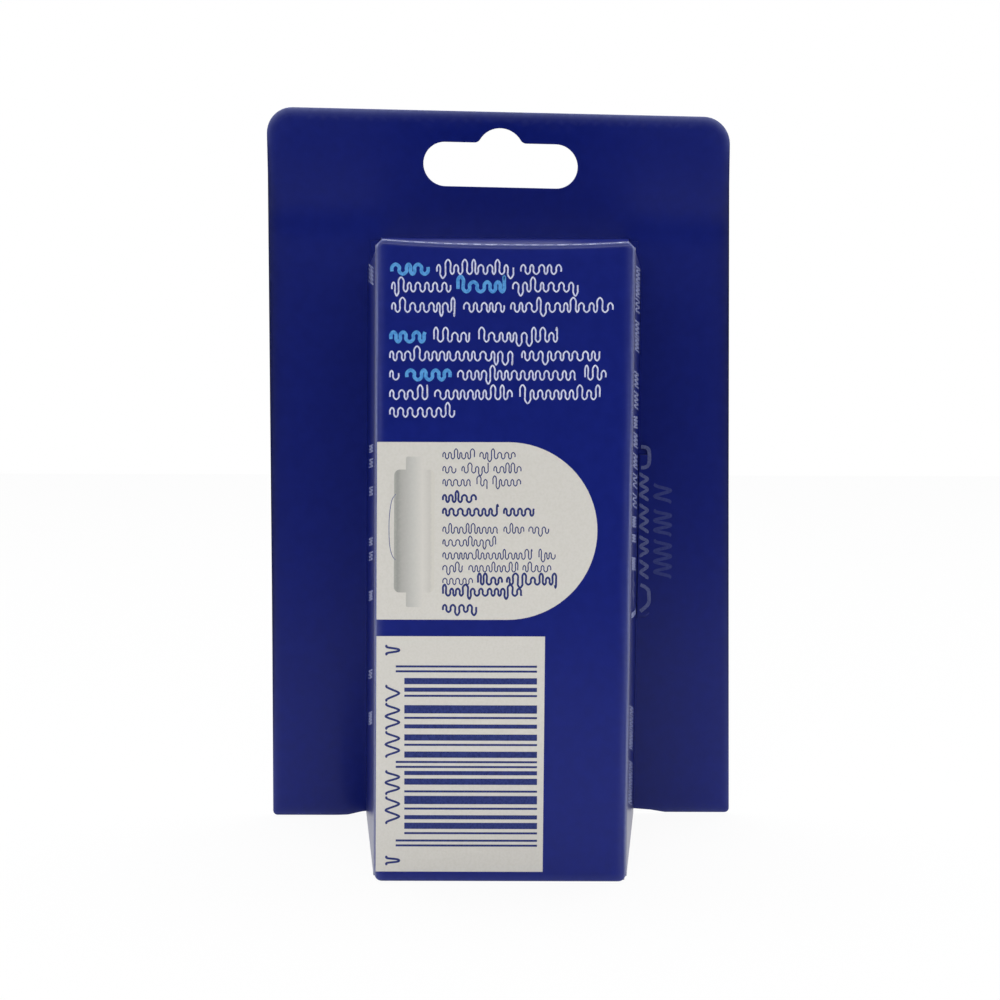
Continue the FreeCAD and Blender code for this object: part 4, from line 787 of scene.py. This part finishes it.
def grown(name, mesh, node_tree, **inputs):
    """Plain mesh that a geometry node tree makes from a mesh, with its named inputs set."""
    holder = put(name, mesh)
    modifier = holder.modifiers.new("grow", "NODES")
    modifier.node_group = node_tree
    for item in node_tree.interface.items_tree:
        if item.item_type == "SOCKET" and item.in_out == "INPUT":
            key = item.name.replace(" ", "_")
            if key in inputs:
                modifier[item.identifier] = inputs[key]
    holder.update_tag()
    evaluated = holder.evaluated_get(bpy.context.evaluated_depsgraph_get())
    result = bpy.data.meshes.new_from_object(evaluated)
    holder.modifiers.remove(modifier)
    bpy.data.objects.remove(holder)
    return result


stroke_tree, given = print_tree(
    "print_strokes", (("Lines", "Geometry"), ("Width", "Float"), ("Ink", "Material")), "Strokes")
curves = add(stroke_tree, "GeometryNodeMeshToCurve", i0=given["Lines"])[0]
bent = add(stroke_tree, "GeometryNodeCurveSplineType", {"spline_type": "CATMULL_ROM"}, Curve=curves)[0]
cut = add(stroke_tree, "GeometryNodeSetSplineResolution", {"Resolution": 4}, i0=bent)[0]
half_width = add(stroke_tree, "ShaderNodeMath", {"operation": "MULTIPLY", 1: 0.5}, i0=given["Width"])[0]
round_pen = add(stroke_tree, "GeometryNodeCurvePrimitiveCircle", {"Resolution": 6}, Radius=half_width)[0]
drawn = add(
    stroke_tree, "GeometryNodeCurveToMesh", {"Fill Caps": True}, Curve=cut, Profile_Curve=round_pen)[0]
give_out(stroke_tree, drawn, given["Ink"])


def print_piece(name, mesh, paint, body, place, rise):
    """Flat print on a surface, from a mesh drawn across and up."""
    for vert in mesh.vertices:
        vert.co = place(vert.co.x, vert.co.y, rise(vert.co.z))
    link_piece(name, mesh_from(opened(mesh), name), [paint], body)


def bars_piece(name, blocks, paint):
    """Blocks of ink on the label. Each block is its middle and its size."""
    mesh = bpy.data.meshes.new(name)
    mesh.from_pydata([(a, b, 0) for a, b, _, _ in blocks], [], [])
    wide = mesh.attributes.new("block_size", "FLOAT_VECTOR", "POINT")
    for item, (_, _, width, height) in zip(wide.data, blocks):
        item.vector = (width, height, 1.0)
    made = grown(name, mesh, blocks_tree, Thickness=0.012, Ink=paint)
    print_piece(name, made, paint, "carton_door", on_back(FILM), lambda z: z + 0.006)


def strokes_piece(name, lines, width, paint, body="carton_door", place=on_back(FILM)):
    """Strokes of ink on a surface along lines of points, the round pen pressed flat."""
    mesh = bpy.data.meshes.new(name)
    points, edges = [], []
    for line in lines:
        edges += [(len(points) + i, len(points) + i + 1) for i in range(len(line) - 1)]
        points += [(a, b, 0) for a, b in line]
    mesh.from_pydata(points, edges, [])
    flatten = 0.02 / width
    made = grown(name, mesh, stroke_tree, Width=width, Ink=paint)
    print_piece(name, made, paint, body, place, lambda z: (z + width * 0.4) * flatten)


def scribbles(rows, height, seed, stem=0.4):
    """Scribbled lines. Each row is the photograph's row of its foot, and the columns that each
    scribble runs between. A stem's spacing is a share of the scribble's height."""
    chance = random.Random(seed)
    lines = []
    for y, spans in rows:
        for first, last in spans:
            (x0, foot), x1 = on_face(first, y), on_face(last, y)[0]
            stems = [x0]
            while stems[-1] < x1 - height * stem * 0.5:
                stems.append(stems[-1] + height * stem * chance.uniform(0.7, 1.35))
            line = []
            for i, (here, there) in enumerate(zip(stems, stems[1:] + [x1])):
                rising = i % 2 == 0
                between = (here + there) / 2
                often, reach, low, high = (0.22, 1.45, 0.3, 0.7) if rising else (0.12, -0.35, 0.7, 0.3)
                tall = reach if chance.random() < often else 0
                line += [(here, foot + height * low), (here, foot + height * high)]
                if tall > 1:
                    shoulder = foot + height * 1.15
                    line += [(here, shoulder), (between, foot + height * tall), (there, shoulder)]
                elif tall < 0:
                    line += [(here, foot), (between, foot + height * tall), (there, foot)]
                elif there > here + height * 0.05:
                    line.append((between, foot + height * (0.95 if rising else 0.05)))
            lines.append(line)
    return lines


strokes_piece(
    "pale_scribbles", scribbles([
        (274.7, [(437, 513), (521, 560)]), (292.3, [(392, 450), (513, 576)]),
        (312.6, [(392, 454), (464, 503), (511, 610)]), (342.4, [(434, 470), (479, 556)]),
        (361.1, [(390, 512), (522, 600)]), (380.4, [(390, 399), (458, 576), (585, 606)]),
        (399.9, [(390, 427), (435, 511), (520, 600)]), (417.5, [(390, 454)])], 1.42, 1),
    0.21, pale_ink, "carton_door", on_back(0.0))
strokes_piece(
    "sky_scribbles", scribbles([
        (274.7, [(392, 428)]), (292.3, [(458, 504)]), (342.4, [(391, 426)]),
        (380.4, [(407, 449)])], 1.5, 2, 0.5),
    0.48, sky_ink, "carton_door", on_back(0.0))
strokes_piece(
    "navy_scribbles", scribbles([
        (459.3, [(443, 473), (480, 515)]), (473.4, [(443, 456), (462, 488), (494, 521)]),
        (486.4, [(443, 471), (477, 487), (493, 519)]), (533.8, [(443, 498), (504, 523), (529, 548)]),
        (546.5, [(443, 495)]), (559.5, [(443, 532), (539, 554)]),
        (572.3, [(443, 463), (469, 517), (523, 550)]), (585, [(443, 471)])], 1.0, 3),
    0.15, navy_ink)
strokes_piece(
    "bold_navy_scribbles", scribbles([
        (502.6, [(443, 476)]), (516.2, [(443, 498), (504, 534)]), (585, [(478, 501), (507, 555)]),
        (596.1, [(443, 522)]), (612.4, [(443, 476)])], 1.12, 4, 0.46),
    0.28, navy_ink)
loop = [on_face(x, y) for x, y in (
    (396, 494), (392, 500), (389.6, 514), (389, 530), (389.8, 546), (392.4, 556), (395.6, 560))]
strokes_piece("drawn_loose_thread", [loop], 0.1, faint_ink)

# Bars and gaps in turn up the label, in steps. The outer and middle pairs start further left.
widths = [1, 1, 1, 2, 3, 1, 2, 1, 1, 3, 4, 1, 1, 2, 2, 2, 3, 1, 1, 2, 3, 1, 1,
          1, 1, 1, 2, 1, 3, 2, 1, 1, 4, 1, 1, 2, 2, 1, 3, 1, 1, 2, 1, 1, 1]
LONG_BARS = (0, 2, 22, 24, 42, 44)
step = (845.7 - 665) / sum(widths)
level = 665.0
bars = []
for index, width in enumerate(widths):
    if index % 2 == 0:
        start = 395.8 if index in LONG_BARS else 404.4
        (x0, z0), _, (x1, z1), _ = box(start, 537, level, level + width * step)
        bars.append(((x0 + x1) / 2, (z0 + z1) / 2, x1 - x0, (z1 - z0) * 0.84))
    level += width * step
bars_piece("label_bars", bars, navy_ink)


def zigzag(x, wide, high, low, pitch):
    """Scribble up a column of the photograph's pixels."""
    count = max(2, round((low - high) / pitch))
    points = []
    for i in range(count + 1):
        y = high + (low - high) * i / count
        points += [(x + wide * (i % 2), y - pitch * 0.19), (x + wide * (i % 2), y + pitch * 0.19)]
    return points


strokes_piece(
    "label_side_scribbles", [[on_face(*point) for point in zigzag(387, 11, *rows, 5.6)] for rows in (
        (646, 654), (686, 700), (704, 728), (732, 756), (771, 793), (797, 822), (856, 863))],
    0.3, navy_ink)


def wall_marks(spans, near, far, pitch, slant):
    """Slanted scribbles up a side wall, from the photograph's rows between which each one lies."""
    lines = []
    for high, low in spans:
        count = max(2, round((low - high) / pitch))
        line = []
        for i in range(count + 1):
            y = high + (low - high) * i / count
            line.append((near, seen(MIDDLE, y - slant, EYE_BACK + BACK + near)[1]))
            line.append((far, seen(MIDDLE, y + slant, EYE_BACK + BACK + far)[1]))
        lines.append(line)
    return lines


strokes_piece(
    "right_wall_marks", wall_marks(
        [(268, 281), (284, 296), (300, 311), (322, 335), (338, 350), (373, 386), (393, 407), (434, 446),
         (455, 467), (475, 486), (495, 506)], 4, 33, 4.4, 2.2) + wall_marks(
        [(417, 427), (517, 526), (535, 541), (558, 569)], 4, 30, 3.0, 0.6),
    0.24, wall_ink, "side_panel", on_wall(1))
strokes_piece(
    "right_wall_faint_marks", wall_marks([(577, 599)], 12, 24, 9.0, 9.0) + wall_marks(
        [(707, 714), (717, 728), (731, 748), (762, 769), (772, 786), (789, 803)], 4, 30, 3.6, 1.5),
    0.16, wall_ink, "side_panel", on_wall(1))
strokes_piece(
    "left_wall_marks", wall_marks([(267, 283)], 8, 34, 4.4, -2.2) + wall_marks(
        [(446, 452), (460, 467), (488, 495), (539, 545), (553, 560), (592, 600), (671, 678), (713, 724)],
        8, 28, 3.0, 0.8),
    0.2, wall_ink, "pack", on_wall(-1))

# Print beside the right wall, in offset ink near the board's own colour: the rounded outline of
# the opening tab, which is cut from the carton's blank, and scribbles on the tab and the card.

TAB_AWAY = 409.2
CARD_AWAY = 409.77


def on_upright(y):
    """Place for prints on an upright face, from millimetres across and up."""
    return lambda a, b, rise: Vector((a, y - rise, b)) * MM


on_tab = on_upright(CARD_FACE - 0.1 - BOARD)
on_card = on_upright(CARD_FACE)


def beside(points, away):
    """Line through pixels of the photograph, on an upright plane at a distance from the camera."""
    return [seen(x, y, away) for x, y in points]


outline = [
    beside(((641.4, 447), (645, 447.2), (648.4, 449), (649.6, 453), (649.6, 462), (648, 466),
            (644.6, 467.6), (641.4, 467.6)), TAB_AWAY),
    beside(((640.8, 585), (644.6, 586.6), (648.4, 590), (649.2, 594), (649.2, 602), (647, 606),
            (640.6, 611.5)), TAB_AWAY)]
strokes_piece("tab_outline", outline, 0.55, faint_ink, "tear_tab", on_tab)
bright_foot = [(a, seen(MIDDLE, y, away)[1]) for a, y, away in (
    (8.0, 615.5, 377.8), (20.0, 614, 389.8), (35.0, 611, 404.8))]
strokes_piece("wall_outline_foot", [bright_foot], 0.8, wall_ink, "side_panel", on_wall(1))
strokes_piece(
    "tab_scribbles", [beside(zigzag(641.6, 5.4, *rows, 5.2), TAB_AWAY) for rows in (
        (474, 500), (505, 532), (537, 556), (561, 578))],
    0.5, faint_ink, "tear_tab", on_tab)
strokes_piece(
    "card_scribbles", [beside(zigzag(656.4, 13, *rows, 5.2), CARD_AWAY) for rows in (
        (485, 502), (511, 535), (541, 577))],
    0.5, dim_ink, "pack", on_card)

# Perforated top crease: the blank is cut through in dashes, so that it tears open here, and pale
# torn fibre shows at the cuts as slivers on the rounded fold. A geometry node tree sets them out.

perforation, given = print_tree("perforation", (
    ("Count", "Int", 17), ("Pitch", "Float", 1.96), ("Length", "Float", 1.6),
    ("Height", "Float", 0.17), ("Seed", "Int", 4), ("Fibre", "Material")), "Slivers")
gaps = add(perforation, "ShaderNodeMath", {"operation": "SUBTRACT", 1: 1.0}, i0=given["Count"])[0]
reach = add(perforation, "ShaderNodeMath", {"operation": "MULTIPLY"}, i0=gaps, i1=given["Pitch"])[0]
first = add(perforation, "ShaderNodeMath", {"operation": "MULTIPLY", 1: -0.5}, i0=reach)[0]
start = add(perforation, "ShaderNodeCombineXYZ", i0=first)[0]
offset = add(perforation, "ShaderNodeCombineXYZ", i0=given["Pitch"])[0]
line = add(
    perforation, "GeometryNodeMeshLine", Count=given["Count"], Start_Location=start, Offset=offset)[0]
bead = add(perforation, "GeometryNodeMeshUVSphere", {"Segments": 14, "Rings": 9, "Radius": 0.5})[0]
thin = add(perforation, "ShaderNodeMath", {"operation": "MULTIPLY", 1: 0.55}, i0=given["Height"])[0]
least = add(perforation, "ShaderNodeCombineXYZ", i0=given["Length"], i1=thin, i2=given["Height"])[0]
jitter = add(perforation, "FunctionNodeRandomValue", {
    "data_type": "FLOAT_VECTOR", 0: (0.7, 1, 0.4), 1: (1.1, 1, 1.3)}, Seed=given["Seed"])[0]
scale = add(perforation, "ShaderNodeVectorMath", {"operation": "MULTIPLY"}, i0=least, i1=jitter)[0]
set_on = add(perforation, "GeometryNodeInstanceOnPoints", Points=line, Instance=bead, Scale=scale)[0]
give_out(perforation, set_on, given["Fibre"])

# Torn paper fibre, dull and pale, with a cast of the ink round it.
fibre = ink("torn_board_fibre", "8F96C6", "C0C5E4", 0.9)
slivers = grown("perforation_slivers", bpy.data.meshes.new("seed"), perforation, Fibre=fibre)
for vert in slivers.vertices:
    x, across, up = vert.co
    turn = math.radians(48) + up / FOLD
    out = FOLD + across + FILM
    vert.co = askew((
        CARTON_X + x, BACK + FOLD - out * math.cos(turn), back_top(x) - FOLD + out * math.sin(turn)))
link_piece("perforation_slivers", mesh_from(opened(slivers), "perforation_slivers"), [fibre], "carton_door")

# Dispenser: a case with a curved door moulded in white plastic, a blue flip lid, a grey outlet
# insert pressed into the deck, a cutter stamped from steel strip, and a grey refill core in the
# case's cradles. All keep the CAD's forms.


def plastic(name, dark, light, roughness, subsurface=0.0):
    """Injection-moulded plastic: a fine grain of 0.4 mm, and a drift of tone and gloss over 17 mm,
    as the melt flowed into the mould."""
    made, tree, shader = material(
        name, Specular_IOR_Level=0.5, Subsurface_Weight=subsurface, Subsurface_Radius=(0.002, 0.002, 0.002))
    spot = uneven(tree, shader, 2400.0, 0.00002)
    flow = mottled(tree, shader, spot, [(0.3, dark), (0.7, light)], Scale=60.0, Detail=2.0)
    gloss = add(tree, "ShaderNodeMapRange", {"To Min": roughness - 0.05, "To Max": roughness + 0.06},
                Value=flow)[0]
    tree.links.new(gloss, shader.inputs["Roughness"])
    return made


# Stainless steel strip: bright and cold, brushed along its length. The lines are 0.17 mm apart,
# coarser than real ones so that they show.
steel, tree, shader = material("stamped_steel", Metallic=1.0, Roughness=0.28)
spot = add(tree, "ShaderNodeTexCoord")["Object"]
stretched = add(tree, "ShaderNodeMapping", {"Scale": (300.0, 6000.0, 6000.0)}, Vector=spot)[0]
mottled(tree, shader, stretched, [(0.3, "A9ABAE"), (0.7, "D2D4D6")], Scale=1.0, Detail=3.0)

# Waxed nylon yarn: near white, with the wax's soft shine and filaments grouped 0.45 mm wide,
# coarser than the real ones so that they show.
waxed, tree, shader = material(
    "waxed_floss", Roughness=0.45, Specular_IOR_Level=0.5, Sheen_Weight=0.2, Subsurface_Weight=0.1,
    Subsurface_Radius=(0.001, 0.001, 0.001))
spot = uneven(tree, shader, 2200.0, 0.00004)
mottled(tree, shader, spot, [(0.3, "D5DADC"), (0.7, "EEF1F2")], Scale=2200.0, Detail=3.0)

# Moulded polypropylene: an even satin, and a little light inside the case's thin walls.
case_white = plastic("white_moulded_case", "DDE0E3", "E8EAEC", 0.32, 0.05)
insert_grey = plastic("grey_moulded_insert", "A9AFB7", "B9BEC5", 0.4)
for nodes, paint in (
        (("dispenser_case", "refill_door"), case_white),
        (("lid",), plastic("blue_moulded_lid", "163B8E", "1B459C", 0.28)),
        (("guide_insert", "refill_door_pins"), insert_grey),
        (("cutter_blade", "lid_pin"), steel),
        (("refill_core",), plastic("grey_refill_core", "8D949E", "9AA1AA", 0.42))):
    for node in nodes:
        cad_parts[node].material_slots[0].material = paint

# Winding on the refill: waxed floss laid in layers whose turns cross, its ends falling away at a
# shoulder.

low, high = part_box("floss_winding")
centre = (low + high) / 2
outer = (high.x - low.x) / 2 / MM
tall = (high.z - low.z) / MM
CORE_RADIUS = 4.02
STRAND_SPACING = 0.62
STRAND_BULGE = 0.13
SHOULDER = 1.3
columns, rows = 160, 300


def around_axis(reach, column, level):
    """Point in metres round the winding's axis, at a reach in metres and one of the columns."""
    turn = 2 * math.pi * column / columns
    return centre.x + reach * math.cos(turn), centre.y + reach * math.sin(turn), level


bm = bmesh.new()
rings = []
for row in range(rows + 1):
    z = row / rows * tall
    base = outer - 0.16 - SHOULDER * max(0.0, 1 - min(z, tall - z) / SHOULDER) ** 2
    ring = []
    for column in range(columns):
        turn = 2 * math.pi * column / columns
        lead = turn / (2 * math.pi) * 6
        crossing = z / STRAND_SPACING + (lead if math.sin(z * 0.9 + turn * 3) > 0 else -lead)
        bulge = (1 - (abs(crossing % 1 - 0.5) * 2) ** 2) * STRAND_BULGE
        ring.append(bm.verts.new(around_axis((base + bulge) * MM, column, low.z + z * MM)))
    rings.append(ring)
for level in (high.z, low.z):
    rings.append([bm.verts.new(around_axis(CORE_RADIUS * MM, i, level)) for i in range(columns)])
for here, there in zip(rings, rings[1:] + rings[:1]):
    for i in range(columns):
        j = (i + 1) % columns
        bm.faces.new((here[i], here[j], there[j], there[i]))
link_piece(
    "cross_wound_floss", mesh_from(bm, "cross_wound_floss"), [waxed], "refill",
    ["floss_winding"])

# Run of floss: a waxed thread led from the winding up through the outlet and over to the cutter,
# held at both ends. Its route is given in millimetres, towards the card and up.

route = bpy.data.curves.new("floss_route", "CURVE")
route.dimensions = "3D"
spline = route.splines.new("NURBS")
bends = (
    (-4.3, 42.95), (-4.3, 66.55), (-3.1, 70.55), (-3.1, 78.95), (-1.3, 78.95), (0.2, 76.05), (2.6, 76.05))
spline.points.add(len(bends) - 1)
for point, (y, z) in zip(spline.points, bends):
    point.co = (CARTON_X * MM, y * MM, z * MM, 1)
spline.order_u = 3
spline.use_endpoint_u = True
spline.resolution_u = 16
route.bevel_depth = 0.28 * MM
route.bevel_resolution = 3
route.use_fill_caps = True
holder = bpy.data.objects.new("floss_route", route)
strand = bpy.data.meshes.new_from_object(holder)
bpy.data.objects.remove(holder)
link_piece(
    "waxed_floss_strand", mesh_from(opened(strand, 1e-7), "waxed_floss_strand"), [waxed], "dispenser",
    ["floss_strand"])
